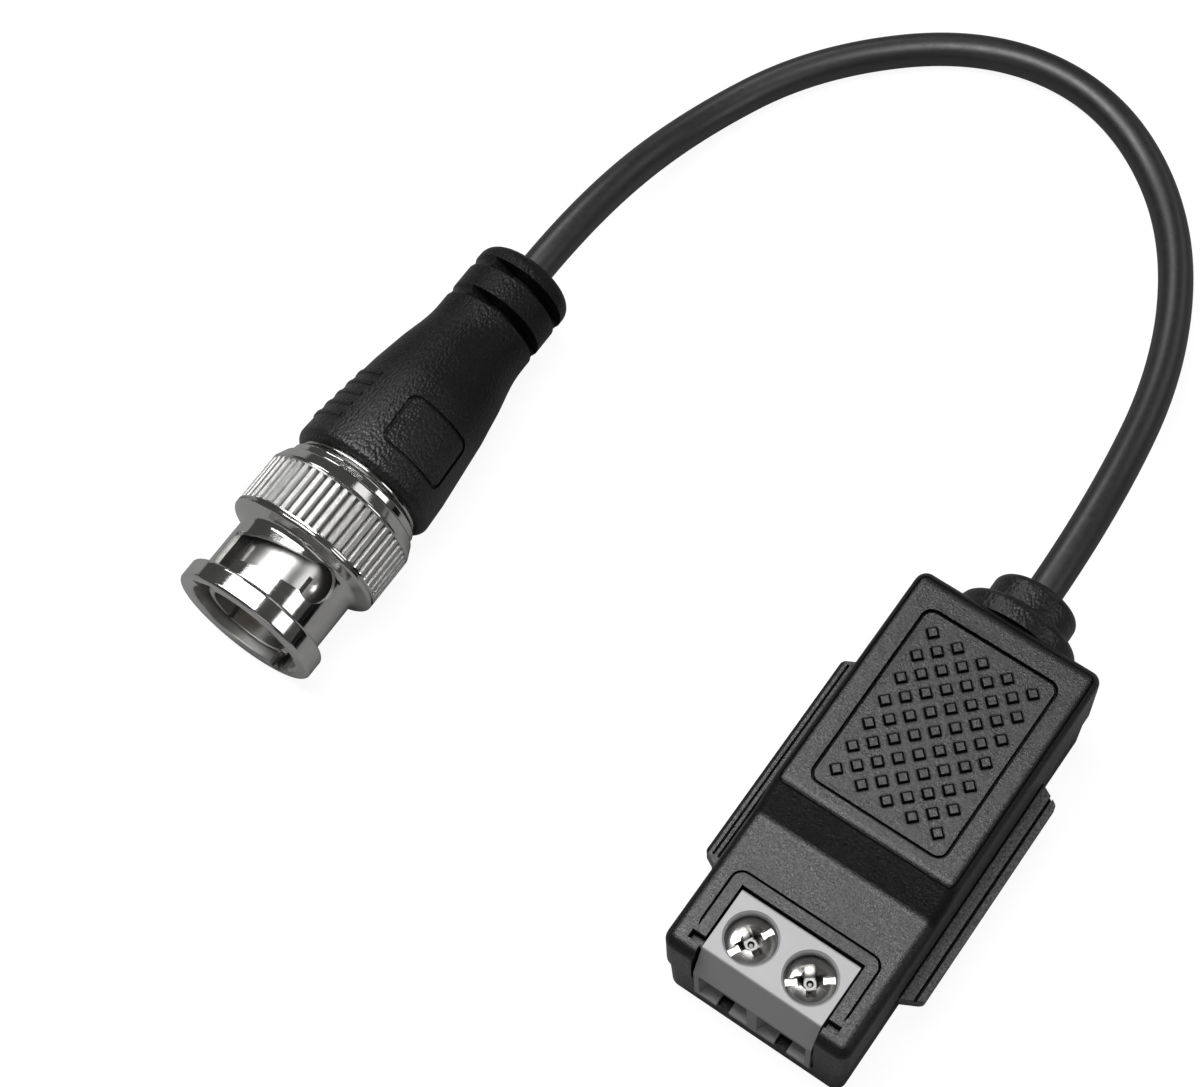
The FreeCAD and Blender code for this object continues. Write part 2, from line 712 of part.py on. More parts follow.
def make_base_shell():
    """Base: floor with board bosses, walls, a locating lip and the right rail."""
    base = base_outside().fuse(base_rail())
    lip = plan_rect(
        LIP_OUTER_HALF,
        (WALL + LIP_CLEARANCE, HOUSING_LENGTH - WALL - LIP_CLEARANCE),
        0.3,
        (PARTING_HEIGHT, PARTING_HEIGHT + LIP_HEIGHT),
    )
    base = base.fuse(lip)
    cavity = plan_rect(
        BASE_CAVITY_HALF,
        (BASE_CAVITY_FRONT, HOUSING_LENGTH - BASE_CAVITY_FRONT),
        0.4,
        (BASE_FLOOR, HOUSING_HEIGHT),
    )
    window = block(
        (-WINDOW_HALF, WINDOW_HALF),
        (FRONT_Y - 1.0, y_at(BASE_CAVITY_FRONT + 0.1)),
        (SILL_HEIGHT, HOUSING_HEIGHT),
    )
    pocket = rod(
        GLAND_INNER_RADIUS + 0.05,
        (0.0, y_at(GLAND_INNER_T - 1.0), GLAND_HEIGHT),
        (0, 1, 0),
        GLAND_INNER_THICKNESS + 1.0,
    )
    base = base.cut(cavity).cut(window).cut(pocket).cut(gland_hole())
    for x in (-post_x(), post_x()):
        for t in (BLOCK_LENGTH + 2.0, POST_T):
            boss = rod(BOARD_BOSS_RADIUS, (x, y_at(t), BASE_FLOOR - 0.1), (0, 0, 1), BOARD_BOSS_HEIGHT + 0.1)
            base = base.fuse(boss)
    return base.removeSplitter()


def entry_funnel(x):
    """Wire entry that narrows inwards, with its throat into the clamp's cavity."""
    half = ENTRY_WIDTH / 2.0
    wires = []
    for t, narrow in ((0.0, 0.0), (ENTRY_DEPTH, ENTRY_NARROWING)):
        places = [
            (x - half + narrow, ENTRY_BOTTOM + narrow),
            (x + half - narrow, ENTRY_BOTTOM + narrow),
            (x + half - narrow, ENTRY_TOP - narrow),
            (x - half + narrow, ENTRY_TOP - narrow),
        ]
        points = [V(px, y_at(t), pz) for px, pz in places]
        wires.append(Part.makePolygon(points + [points[0]]))
    funnel = Part.makeLoft(wires, True, True)
    slot = block(
        (x - ENTRY_SLOT_WIDTH / 2.0, x + ENTRY_SLOT_WIDTH / 2.0),
        (FRONT_Y, y_at(ENTRY_SLOT_LENGTH)),
        (BOARD_TOP, ENTRY_BOTTOM + 0.5),
    )
    return funnel.fuse(slot)


def make_terminal_block():
    """Two-pole terminal housing with a sloped brow, screw holes and wire entries."""
    floor = BOARD_TOP + BLOCK_STEP_HEIGHT
    body = side_prism(
        [
            (0.0, floor, 0.0),
            (0.0, BLOCK_BROW_HEIGHT, 0.3),
            (BLOCK_BROW_SETBACK, BLOCK_TOP, BLOCK_EDGE_RADIUS),
            (BLOCK_LENGTH, BLOCK_TOP, BLOCK_EDGE_RADIUS),
            (BLOCK_LENGTH, BOARD_TOP, 0.0),
            (BLOCK_STEP, BOARD_TOP, 0.0),
            (BLOCK_STEP, floor, 0.0),
        ],
        BLOCK_HALF,
    )
    half = CLAMP_WIDTH / 2.0 + SLIDE_CLEARANCE
    for x in POLES.values():
        cavity = block(
            (x - half, x + half),
            (y_at(ENTRY_DEPTH - 0.01), y_at(CONTACT_LEG_T)),
            (CLAMP_BOTTOM - SLIDE_CLEARANCE, SHELF_BOTTOM),
        )
        leg_slot = block(
            (x - CONTACT_WIDTH / 2.0, x + CONTACT_WIDTH / 2.0),
            (y_at(CONTACT_LEG_T - 0.01), y_at(CONTACT_LEG_T + CONTACT_THICKNESS)),
            (BOARD_TOP - 1.0, CONTACT_TOP),
        )
        head_hole = rod(SCREW_HOLE_RADIUS, (x, y_at(SCREW_T), SHELF_TOP), (0, 0, 1), 5.0)
        lip = Part.makeCone(
            SCREW_HOLE_RADIUS,
            SCREW_HOLE_RADIUS + 2.0 * SCREW_HOLE_LIP,
            2.0 * SCREW_HOLE_LIP,
            V(x, y_at(SCREW_T), BLOCK_TOP - SCREW_HOLE_LIP),
        )
        shaft_hole = rod(SHAFT_HOLE_RADIUS, (x, y_at(SCREW_T), SHELF_BOTTOM - 0.1), (0, 0, 1), 1.0)
        for cut in (cavity, leg_slot, head_hole, lip, shaft_hole, entry_funnel(x)):
            body = body.cut(cut)
    return body


def make_terminal_screw(x, slot_angle):
    """Captive clamp screw: domed head with slot and cross, plain shaft for its thread."""
    axis = (x, y_at(SCREW_T), HEAD_BOTTOM)
    head = rod(SCREW_HEAD_RADIUS, axis, (0, 0, 1), SCREW_HEAD_THICKNESS)
    dome = (SCREW_HEAD_RADIUS ** 2 + SCREW_HEAD_CROWN ** 2) / (2.0 * SCREW_HEAD_CROWN)
    head = head.common(Part.makeSphere(dome, V(x, y_at(SCREW_T), HEAD_TOP - dome)))
    tip = CONTACT_TOP + SCREW_TIP_GAP
    shaft = rod(SCREW_SHAFT_RADIUS, (x, y_at(SCREW_T), tip), (0, 0, 1), HEAD_BOTTOM - tip)
    tip_edge = [e for e in shaft.Edges if e.BoundBox.ZMax < tip + 1e-6]
    screw = head.fuse(shaft.makeChamfer(0.2, tip_edge))
    reach = SCREW_HEAD_RADIUS + 0.5
    half = SLOT_WIDTH / 2.0
    cuts = [block((-reach, reach), (-half, half), (HEAD_TOP - SLOT_DEPTH, HEAD_TOP + 1.0))]
    cuts += [cross_arm(0.0), cross_arm(90.0), cross_core()]
    for cut in cuts:
        cut.rotate(V(0, 0, 0), V(0, 0, 1), slot_angle)
        cut.translate(V(x, y_at(SCREW_T), 0))
        screw = screw.cut(cut)
    return screw.removeSplitter()


def cross_arm(turn):
    """One arm of the cross recess, with ends that slope down to its floor."""
    top = CROSS_LENGTH / 2.0
    foot = CROSS_FOOT_LENGTH / 2.0
    half = CROSS_WIDTH / 2.0
    floor = HEAD_TOP - CROSS_DEPTH
    rise = (top - foot) / CROSS_DEPTH
    points = [
        V(-foot, -half, floor),
        V(foot, -half, floor),
        V(top + rise, -half, HEAD_TOP + 1.0),
        V(-top - rise, -half, HEAD_TOP + 1.0),
    ]
    arm = Part.Face(Part.makePolygon(points + [points[0]])).extrude(V(0, CROSS_WIDTH, 0))
    arm.rotate(V(0, 0, 0), V(0, 0, 1), turn)
    return arm


def cross_core():
    """Cone in the middle of the cross recess."""
    foot = V(0, 0, HEAD_TOP - CROSS_CORE_DEPTH)
    return Part.makeCone(CROSS_CORE_TIP, CROSS_CORE_RADIUS, CROSS_CORE_DEPTH, foot)


def make_wire_clamp(x):
    """Square ring that rises on the screw and grips the wire under the contact bar."""
    half = CLAMP_WIDTH / 2.0
    span = (y_at(SCREW_T - CLAMP_LENGTH / 2.0), y_at(CLAMP_REAR_T))
    cage = block((x - half, x + half), span, (CLAMP_BOTTOM, CLAMP_BOTTOM + CLAMP_HEIGHT))
    inner = half - CLAMP_SIDE
    hole = block(
        (x - inner, x + inner),
        (span[0] - 1.0, span[1] + 1.0),
        (CLAMP_BOTTOM + CLAMP_FLOOR, CLAMP_BOTTOM + CLAMP_HEIGHT - CLAMP_ROOF),
    )
    thread = rod(SHAFT_HOLE_RADIUS, (x, y_at(SCREW_T), CLAMP_THREAD_START), (0, 0, 1), CLAMP_HEIGHT)
    cage = cage.cut(hole).cut(thread)
    serration = block((x - inner, x + inner), (0.0, 0.3), (0.0, 0.1))
    for k in range(4):
        row = serration.copy()
        row.translate(V(0, span[0] + 0.5 + 0.8 * k, CLAMP_BOTTOM + CLAMP_FLOOR))
        cage = cage.fuse(row)
    return cage


def make_terminal_contact(x):
    """Contact bar through the clamp, with a leg and a solder pin through the board."""
    half = CONTACT_WIDTH / 2.0
    rear = CONTACT_LEG_T + CONTACT_THICKNESS
    front = SCREW_T - CLAMP_LENGTH / 2.0 + 0.1
    bar = block((x - half, x + half), (y_at(front), y_at(rear)), (CONTACT_BOTTOM, CONTACT_TOP))
    leg = block((x - half, x + half), (y_at(CONTACT_LEG_T), y_at(rear)), (BOARD_TOP, CONTACT_BOTTOM))
    return bar.fuse(leg).fuse(solder_pin(x)).removeSplitter()


def solder_pin(x):
    """Pin of a contact, which also makes its hole in the board."""
    half = CONTACT_PIN_WIDTH / 2.0
    return block(
        (x - half, x + half),
        (y_at(CONTACT_LEG_T), y_at(CONTACT_LEG_T + CONTACT_THICKNESS)),
        (BOARD_TOP + 1.0 - CONTACT_PIN_LENGTH, BOARD_TOP + 1.0),
    )


def make_circuit_board():
    """Board with holes for every pin and lead."""
    board = block(
        (-BOARD_HALF, BOARD_HALF),
        (y_at(BLOCK_STEP), y_at(BOARD_END)),
        (BOARD_BOTTOM, BOARD_TOP),
    )
    pins = [solder_pin(x) for x in POLES.values()]
    pins += [make_core_lead(), make_shield_lead()]
    pins += [winding_leads(-1.0), winding_leads(1.0)]
    for pin in pins:
        board = board.cut(pin)
    return board


def make_ferrite_core():
    """Ring core lying flat above the board, held by its windings."""
    foot = BOARD_TOP + WINDING_THICKNESS
    centre = (0.0, y_at(CORE_T), foot)
    ring = rod(CORE_OUTER_RADIUS, centre, (0, 0, 1), CORE_HEIGHT)
    return ring.cut(rod(CORE_INNER_RADIUS, centre, (0, 0, 1), CORE_HEIGHT))


def winding_leads(side):
    """The two lead-outs of a winding, down through the board."""
    top = BOARD_TOP + WINDING_THICKNESS / 2.0
    foot = BOARD_BOTTOM - LEAD_BELOW_BOARD
    reach = (CORE_OUTER_RADIUS + CORE_INNER_RADIUS) / 2.0
    leads = []
    for turn in (-50.0, 50.0):
        angle = math.radians(turn) + (0.0 if side > 0 else math.pi)
        x = reach * math.cos(angle)
        y = y_at(CORE_T) + reach * math.sin(angle)
        leads.append(rod(WINDING_LEAD_RADIUS, (x, y, foot), (0, 0, 1), top - foot))
    return Part.Compound(leads)


def make_winding(side):
    """Packed layer of turns over one side of the ring core."""
    outer = CORE_OUTER_RADIUS + WINDING_THICKNESS
    inner = CORE_INNER_RADIUS - WINDING_THICKNESS
    height = CORE_HEIGHT + 2.0 * WINDING_THICKNESS
    centre = V(0.0, y_at(CORE_T), BOARD_TOP)
    first = (0.0 if side > 0 else 180.0) - WINDING_SPREAD / 2.0
    face = Part.makePolygon(
        [
            V(inner, 0, 0),
            V(outer, 0, 0),
            V(outer, 0, height),
            V(inner, 0, height),
            V(inner, 0, 0),
        ]
    )
    layer = Part.Face(face)
    layer.rotate(V(0, 0, 0), V(0, 0, 1), first)
    layer = layer.revolve(V(0, 0, 0), V(0, 0, 1), WINDING_SPREAD)
    layer.translate(centre)
    layer = layer.cut(make_ferrite_core())
    return layer.fuse(winding_leads(side).Solids)


def make_chip(side, size):
    """Small moulded component beside the ring core's front."""
    x = side * CHIP_OFFSET
    return block(
        (x - size[0] / 2.0, x + size[0] / 2.0),
        (y_at(SURGE_T - size[1] / 2.0), y_at(SURGE_T + size[1] / 2.0)),
        (BOARD_TOP, BOARD_TOP + size[2]),
    )


def make_cable_gland():
    """Moulded strain relief, clipped through the rear wall."""
    wall_in = HOUSING_LENGTH - WALL
    flange_end = HOUSING_LENGTH + GLAND_FLANGE_THICKNESS
    collar_end = flange_end + GLAND_COLLAR_LENGTH
    profile = [
        (GLAND_INNER_T, CABLE_RADIUS, 0.0),
        (GLAND_INNER_T, GLAND_INNER_RADIUS, 0.2),
        (wall_in, GLAND_INNER_RADIUS, 0.0),
        (wall_in, GLAND_NECK_RADIUS, 0.0),
        (HOUSING_LENGTH, GLAND_NECK_RADIUS, 0.0),
        (HOUSING_LENGTH, GLAND_FLANGE_RADIUS, 0.0),
        (flange_end, GLAND_FLANGE_RADIUS, GLAND_FLANGE_ROUND),
        (flange_end, GLAND_COLLAR_RADIUS, 0.25),
        (collar_end, GLAND_COLLAR_RADIUS, GLAND_COLLAR_ROUND),
        (collar_end, CABLE_RADIUS, 0.0),
    ]
    return turned(profile, 0.0, FRONT_Y, GLAND_HEIGHT)


def make_cable_tail():
    """The lead's end inside the gland and the housing."""
    start = (0.0, y_at(TAIL_END_T), GLAND_HEIGHT)
    return rod(CABLE_RADIUS, start, (0, 1, 0), GLAND_END_Y - y_at(TAIL_END_T))


def make_core_lead():
    """Bared core, from the lead's end down through the board."""
    bend_t = TAIL_END_T - LEAD_BEND_DISTANCE
    route = [
        (0.0, y_at(TAIL_END_T), GLAND_HEIGHT),
        (0.0, y_at(bend_t), GLAND_HEIGHT),
        (0.0, y_at(bend_t), BOARD_BOTTOM - LEAD_BELOW_BOARD),
    ]
    return tube(route, CORE_LEAD_RADIUS)


def make_shield_lead():
    """Twisted screen wires, from the lead's end down through the board."""
    bend_t = TAIL_END_T - 1.1 * LEAD_BEND_DISTANCE
    level_t = TAIL_END_T - 0.7 * LEAD_BEND_DISTANCE
    route = [
        (SHIELD_LEAD_START, y_at(TAIL_END_T), GLAND_HEIGHT),
        (SHIELD_LEAD_START, y_at(level_t), GLAND_HEIGHT),
        (SHIELD_LEAD_SIDE, y_at(bend_t), GLAND_HEIGHT - SHIELD_LEAD_DROP),
        (SHIELD_LEAD_SIDE, y_at(bend_t), BOARD_BOTTOM - LEAD_BELOW_BOARD),
    ]
    return tube(route, SHIELD_LEAD_RADIUS)


def make_cable():
    """Free coax lead between the gland and the plug's boot."""
    return tube(CABLE_ROUTE, CABLE_RADIUS, "cable")


def bayonet_slot(angle):
    """One curved slot of the coupling nut with its entry and its round seat."""
    rise = BAYONET_SEAT_S - BAYONET_START_S
    half = BAYONET_WIDTH / 2.0
    steps = 10
    inner = CONTACT_SLEEVE_RADIUS
    outer = NUT_FLANGE_RADIUS + 1.0
    pieces = []
    for k in range(steps):
        share = (k + 0.5) / steps
        turn = angle - BAYONET_TURN * (1.0 - share)
        s = BAYONET_START_S + rise * share
        reach = math.radians(BAYONET_TURN / steps) * outer / 2.0 + 0.05
        piece = block((-reach, reach), (-half, half), (inner, outer))
        slope = math.degrees(math.atan2(rise, math.radians(BAYONET_TURN) * NUT_SLEEVE_RADIUS))
        piece.rotate(V(0, 0, 0), V(0, 0, 1), slope)
        piece.translate(V(PLUG_X, PLUG_FRONT_Y + s, PLUG_Z))
        pieces.append(about_plug(piece, turn))
    seat = rod(BAYONET_SEAT_RADIUS, (0, 0, inner), (0, 0, 1), outer - inner)
    seat.translate(V(PLUG_X, PLUG_FRONT_Y + BAYONET_SEAT_S, PLUG_Z))
    pieces.append(about_plug(seat, angle))
    gate = block((-half, half), (-1.0, BAYONET_START_S + half), (inner, LUG_RADIUS))
    gate.translate(V(PLUG_X, PLUG_FRONT_Y, PLUG_Z))
    pieces.append(about_plug(gate, angle - BAYONET_TURN))
    return pieces


def make_coupling_nut():
    """Bayonet coupling nut: flange, slotted sleeve, knurled band and rear shoulder."""
    knurl_end = NUT_KNURL_START + NUT_KNURL_LENGTH
    slope_start = knurl_end + NUT_REAR_BAND
    slope_end = slope_start + NUT_REAR_SLOPE
    rear_bore = BODY_BARREL_RADIUS + RUNNING_CLEARANCE
    profile = [
        (0.0, NUT_BORE_RADIUS, 0.2),
        (0.0, NUT_FLANGE_RADIUS, 0.3),
        (NUT_FLANGE_LENGTH, NUT_FLANGE_RADIUS, 0.3),
        (NUT_FLANGE_LENGTH, NUT_SLEEVE_RADIUS, 0.2),
        (NUT_CHAMBER_START - NUT_FLARE_LENGTH, NUT_SLEEVE_RADIUS, 0.6),
        (NUT_CHAMBER_START, NUT_KNURL_RADIUS, 0.3),
        (slope_start, NUT_KNURL_RADIUS, 0.4),
        (slope_end, NUT_KNURL_RADIUS - NUT_REAR_DROP, 0.4),
        (slope_end + NUT_REAR_STEP, NUT_REAR_RADIUS, 0.0),
        (NUT_LENGTH, NUT_REAR_RADIUS, 0.3),
        (NUT_LENGTH, rear_bore, 0.0),
        (NUT_SHOULDER_S, rear_bore, 0.0),
        (NUT_SHOULDER_S, NUT_CHAMBER_RADIUS, 0.0),
        (NUT_CHAMBER_START, NUT_CHAMBER_RADIUS, 0.0),
        (NUT_CHAMBER_START, NUT_BORE_RADIUS, 0.0),
    ]
    nut = plug_turned(profile)
    foot = PLUG_Z + NUT_KNURL_RADIUS - NUT_KNURL_DEPTH
    start = PLUG_FRONT_Y + NUT_KNURL_START
    flank = NUT_KNURL_GROOVE / 2.0
    points = [
        V(PLUG_X, start, foot),
        V(PLUG_X - 2.0 * flank, start, foot + 2.0 * NUT_KNURL_DEPTH),
        V(PLUG_X + 2.0 * flank, start, foot + 2.0 * NUT_KNURL_DEPTH),
    ]
    wedge = Part.Face(Part.makePolygon(points + [points[0]]))
    groove = wedge.extrude(V(0, NUT_KNURL_LENGTH, 0))
    grooves = [about_plug(groove, 360.0 * k / NUT_KNURL_RIBS) for k in range(NUT_KNURL_RIBS)]
    nut = nut.cut(grooves)
    ring = (NUT_KNURL_START - 1.75 * NUT_FRONT_RING_WIDTH, NUT_KNURL_START - 0.75 * NUT_FRONT_RING_WIDTH)
    nut = nut.cut(plug_tube(ring, NUT_KNURL_RADIUS + 1.0, NUT_KNURL_RADIUS - NUT_FRONT_RING_DEPTH))
    for angle in (BAYONET_SEAT_ANGLE, BAYONET_SEAT_ANGLE + 180.0):
        nut = nut.cut(bayonet_slot(angle))
    return nut


def make_plug_body():
    """Plug body: outer contact sleeve, collar, barrel, rear flange and crimp spigot."""
    profile = [
        (CONTACT_SLEEVE_START, CONTACT_SLEEVE_BORE, 0.0),
        (CONTACT_SLEEVE_START, CONTACT_SLEEVE_RADIUS, 0.2),
        (BODY_COLLAR_START, CONTACT_SLEEVE_RADIUS, 0.0),
        (BODY_COLLAR_START, BODY_COLLAR_RADIUS, 0.2),
        (COLLAR_REAR_S, BODY_COLLAR_RADIUS, 0.2),
        (COLLAR_REAR_S, BODY_BARREL_RADIUS, 0.0),
        (BODY_FLANGE_S, BODY_BARREL_RADIUS, 0.0),
        (BODY_FLANGE_S, BODY_FLANGE_RADIUS, 0.15),
        (FLANGE_REAR_S, BODY_FLANGE_RADIUS, 0.0),
        (FLANGE_REAR_S, BODY_REAR_RADIUS, 0.0),
        (BODY_REAR_END, BODY_REAR_RADIUS, 0.0),
        (BODY_REAR_END, SPIGOT_RADIUS, 0.0),
        (SPIGOT_END, SPIGOT_RADIUS, 0.0),
        (SPIGOT_END, DIELECTRIC_RADIUS, 0.0),
        (INSULATOR_END_S, DIELECTRIC_RADIUS, 0.0),
        (INSULATOR_END_S, INSULATOR_RADIUS, 0.0),
        (CONTACT_FLOOR_S, INSULATOR_RADIUS, 0.0),
        (CONTACT_FLOOR_S, CONTACT_SLEEVE_BORE, 0.0),
    ]
    body = plug_turned(profile)
    depth = CONTACT_FLOOR_S - CONTACT_SLEEVE_START
    slit = block((-0.2, 0.2), (-1.0, depth * 0.75), (2.6, 4.6))
    slit.translate(V(PLUG_X, PLUG_FRONT_Y + CONTACT_SLEEVE_START, PLUG_Z))
    for k in range(4):
        body = body.cut(about_plug(slit, 45.0 + 90.0 * k))
    return body


def make_plug_insulator():
    """Insulator round the centre pin."""
    profile = [
        (INSULATOR_FRONT_S, PIN_REAR_RADIUS, 0.0),
        (INSULATOR_FRONT_S, INSULATOR_RADIUS, 0.25),
        (INSULATOR_END_S, INSULATOR_RADIUS, 0.0),
        (INSULATOR_END_S, PIN_REAR_RADIUS, 0.0),
    ]
    return plug_turned(profile)


def make_plug_pin():
    """Centre pin with a rounded tip, thicker inside the insulator."""
    profile = [
        (PIN_FRONT_S, 0.0, 0.0),
        (PIN_FRONT_S, PIN_RADIUS, 0.5),
        (INSULATOR_FRONT_S, PIN_RADIUS, 0.0),
        (INSULATOR_FRONT_S, PIN_REAR_RADIUS, 0.0),
        (INSULATOR_END_S, PIN_REAR_RADIUS, 0.0),
        (INSULATOR_END_S, 0.0, 0.0),
    ]
    return plug_turned(profile)


def make_plug_cable_tail():
    """The lead's stripped end inside the plug: jacket in the boot, dielectric in the spigot."""
    jacket = plug_rod((SPIGOT_END, BOOT_END_S), CABLE_RADIUS)
    return jacket.fuse(plug_rod((INSULATOR_END_S, SPIGOT_END), DIELECTRIC_RADIUS))


def make_crimp_ferrule():
    """Ferrule over the spigot, necked down on the jacket."""
    outer = SPIGOT_RADIUS + FERRULE_WALL
    profile = [
        (BODY_REAR_END, SPIGOT_RADIUS, 0.0),
        (BODY_REAR_END, outer, 0.0),
        (SPIGOT_END, outer, 0.3),
        (SPIGOT_END + 0.4, CABLE_RADIUS + FERRULE_WALL, 0.3),
        (FERRULE_END_S, CABLE_RADIUS + FERRULE_WALL, 0.0),
        (FERRULE_END_S, CABLE_RADIUS, 0.0),
        (SPIGOT_END, CABLE_RADIUS, 0.0),
        (SPIGOT_END, SPIGOT_RADIUS, 0.0),
    ]
    return plug_turned(profile)


def make_gasket():
    """Face seal in front of the body's collar."""
    start = BODY_COLLAR_START - GASKET_THICKNESS
    return plug_tube((start, BODY_COLLAR_START), GASKET_RADIUS, CONTACT_SLEEVE_RADIUS)


def make_spring_washer():
    """Wave washer behind the collar, drawn pressed."""
    inner = BODY_BARREL_RADIUS + 0.15
    outer = BODY_COLLAR_RADIUS - 0.1
    lift = SPRING_HEIGHT - SPRING_SHEET
    count = 12 * SPRING_WAVES
    rings = []
    for radius in (inner, outer):
        for base in (0.0, SPRING_SHEET):
            points = []
            for k in range(count):
                angle = 2.0 * math.pi * k / count
                s = COLLAR_REAR_S + base + lift * (1.0 - math.cos(SPRING_WAVES * angle)) / 2.0
                points.append(
                    V(
                        PLUG_X + radius * math.sin(angle),
                        PLUG_FRONT_Y + s,
                        PLUG_Z + radius * math.cos(angle),
                    )
                )
            curve = Part.BSplineCurve()
            curve.interpolate(points, True)
            rings.append(curve.toShape())
    inner_low, inner_high, outer_low, outer_high = rings
    faces = [
        Part.makeRuledSurface(inner_low, outer_low),
        Part.makeRuledSurface(outer_low, outer_high),
        Part.makeRuledSurface(outer_high, inner_high),
        Part.makeRuledSurface(inner_high, inner_low),
    ]
    shell = Part.Shell([face for ruled in faces for face in ruled.Faces])
    washer = Part.Solid(shell)
    if washer.Volume < 0:
        washer.reverse()
    return washer


def make_thrust_ring():
    """Flat ring that the nut pulls forward against the spring washer."""
    inner = BODY_BARREL_RADIUS + RUNNING_CLEARANCE
    outer = NUT_CHAMBER_RADIUS - 0.1
    return plug_tube((RING_FRONT_S, RING_FRONT_S + RING_THICKNESS), outer, inner)


def boot_outside():
    """Outer form of the boot: tapered grip, then a straight tail."""
    profile = [
        (0.0, 0.0, 0.0),
        (0.0, BOOT_FRONT_RADIUS, BOOT_FRONT_ROUND),
        (BOOT_SHOULDER_S, BOOT_SHOULDER_RADIUS, BOOT_SHOULDER_ROUND),
        (BOOT_WAIST_S, BOOT_WAIST_RADIUS, BOOT_WAIST_ROUND),
        (BOOT_NECK_S, BOOT_NECK_RADIUS, BOOT_NECK_ROUND),
        (BOOT_TAIL_S, BOOT_TAIL_RADIUS, BOOT_TAIL_START_ROUND),
        (BOOT_LENGTH, BOOT_TAIL_RADIUS, BOOT_TAIL_ROUND),
        (BOOT_LENGTH, 0.0, 0.0),
    ]
    return plug_turned([(s + BOOT_FRONT_S, r, rounding) for s, r, rounding in profile])


def boot_slots():
    """Two pairs of bending slots across the tail, with a round core left between them."""
    reach = BOOT_TAIL_RADIUS + 1.0
    slots = []
    for back in (BOOT_SLOT_LAST, BOOT_SLOT_LAST + BOOT_SLOT_PITCH):
        middle = BOOT_END_S - back
        span = (middle - BOOT_SLOT_WIDTH / 2.0, middle + BOOT_SLOT_WIDTH / 2.0)
        slot = block(
            (PLUG_X - reach, PLUG_X + reach),
            (PLUG_FRONT_Y + span[0], PLUG_FRONT_Y + span[1]),
            (PLUG_Z + BOOT_SLOT_FLOOR, PLUG_Z + reach),
        )
        slot = slot.cut(plug_rod(span, BOOT_SLOT_CORE))
        for angle in (BOOT_SLOT_ANGLE, BOOT_SLOT_ANGLE + 180.0):
            slots.append(about_plug(slot, angle))
    return slots


def grip_radius(s):
    """Boot radius at a distance behind its front face, in the grip."""
    slope = (BOOT_SHOULDER_RADIUS - BOOT_WAIST_RADIUS) / (BOOT_WAIST_S - BOOT_SHOULDER_S)
    return BOOT_SHOULDER_RADIUS - slope * (s - BOOT_SHOULDER_S)


def boot_ridges():
    """Short raised ribs across one side of the grip."""
    ridges = []
    for k in range(BOOT_RIDGES):
        s = BOOT_RIDGE_FIRST + k * BOOT_RIDGE_PITCH
        base = grip_radius(s) - 0.15
        top = grip_radius(s) + BOOT_RIDGE_HEIGHT
        profile = [
            (BOOT_FRONT_S + s - 0.35, base, 0.0),
            (BOOT_FRONT_S + s - 0.15, top, 0.1),
            (BOOT_FRONT_S + s + 0.15, top, 0.1),
            (BOOT_FRONT_S + s + 0.35, base, 0.0),
        ]
        start = BOOT_RIDGE_ANGLE - BOOT_RIDGE_SPAN / 2.0
        ridges.append(plug_turned(profile, BOOT_RIDGE_SPAN, start))
    return ridges


def pad_lines():
    """Engraved outline of the thumb pad on the grip's other side."""
    frames = []
    for inset in (0.0, PAD_LINE):
        half = PAD_WIDTH / 2.0 - inset
        span = (BOOT_FRONT_S + PAD_START + inset, BOOT_FRONT_S + PAD_END - inset)
        places = [(-half, span[0]), (half, span[0]), (half, span[1]), (-half, span[1])]
        corners = [(V(PLUG_X + x, PLUG_FRONT_Y + along, PLUG_Z), PAD_CORNER - inset) for x, along in places]
        face = Part.Face(outline(corners))
        frames.append(face.extrude(V(0, 0, BOOT_FRONT_RADIUS + 1.0)))
    frame = about_plug(frames[0].cut(frames[1]), PAD_ANGLE)
    skin = []
    for s, lift in ((0.0, 1.0), (BOOT_WAIST_S, 1.0), (BOOT_WAIST_S, -PAD_LINE_DEPTH), (0.0, -PAD_LINE_DEPTH)):
        skin.append((BOOT_FRONT_S + s, grip_radius(s) + lift, 0.0))
    return frame.common(plug_turned(skin))


def tail_rings():
    """Shallow grooves round the tail, level with the bending slots."""
    rings = []
    for back in (BOOT_SLOT_LAST, BOOT_SLOT_LAST + BOOT_SLOT_PITCH):
        middle = BOOT_END_S - back
        floor = BOOT_TAIL_RADIUS - BOOT_RING_DEPTH
        profile = [
            (middle - 0.2 * BOOT_RING_WIDTH, floor, 0.0),
            (middle + 0.2 * BOOT_RING_WIDTH, floor, 0.0),
            (middle + BOOT_RING_WIDTH, BOOT_TAIL_RADIUS + BOOT_RING_DEPTH, 0.0),
            (middle - BOOT_RING_WIDTH, BOOT_TAIL_RADIUS + BOOT_RING_DEPTH, 0.0),
        ]
        rings.append(plug_turned(profile))
    return rings


def make_plug_boot():
    """Moulded boot over the plug body's rear, the ferrule and the lead's end."""
    boot = boot_outside().fuse(boot_ridges())
    boot = boot.cut(pad_lines()).cut(tail_rings()).cut(boot_slots())
    inner = [
        plug_rod((BOOT_FRONT_S - 1.0, FLANGE_REAR_S), BODY_FLANGE_RADIUS),
        plug_rod((FLANGE_REAR_S - 0.1, BODY_REAR_END), BODY_REAR_RADIUS),
        plug_rod((SPIGOT_END, BOOT_END_S + 1.0), CABLE_RADIUS),
        make_crimp_ferrule(),
        plug_rod((BODY_REAR_END - 0.1, SPIGOT_END + 0.1), SPIGOT_RADIUS),
    ]
    for hollow in inner:
        boot = boot.cut(hollow)
    return boot


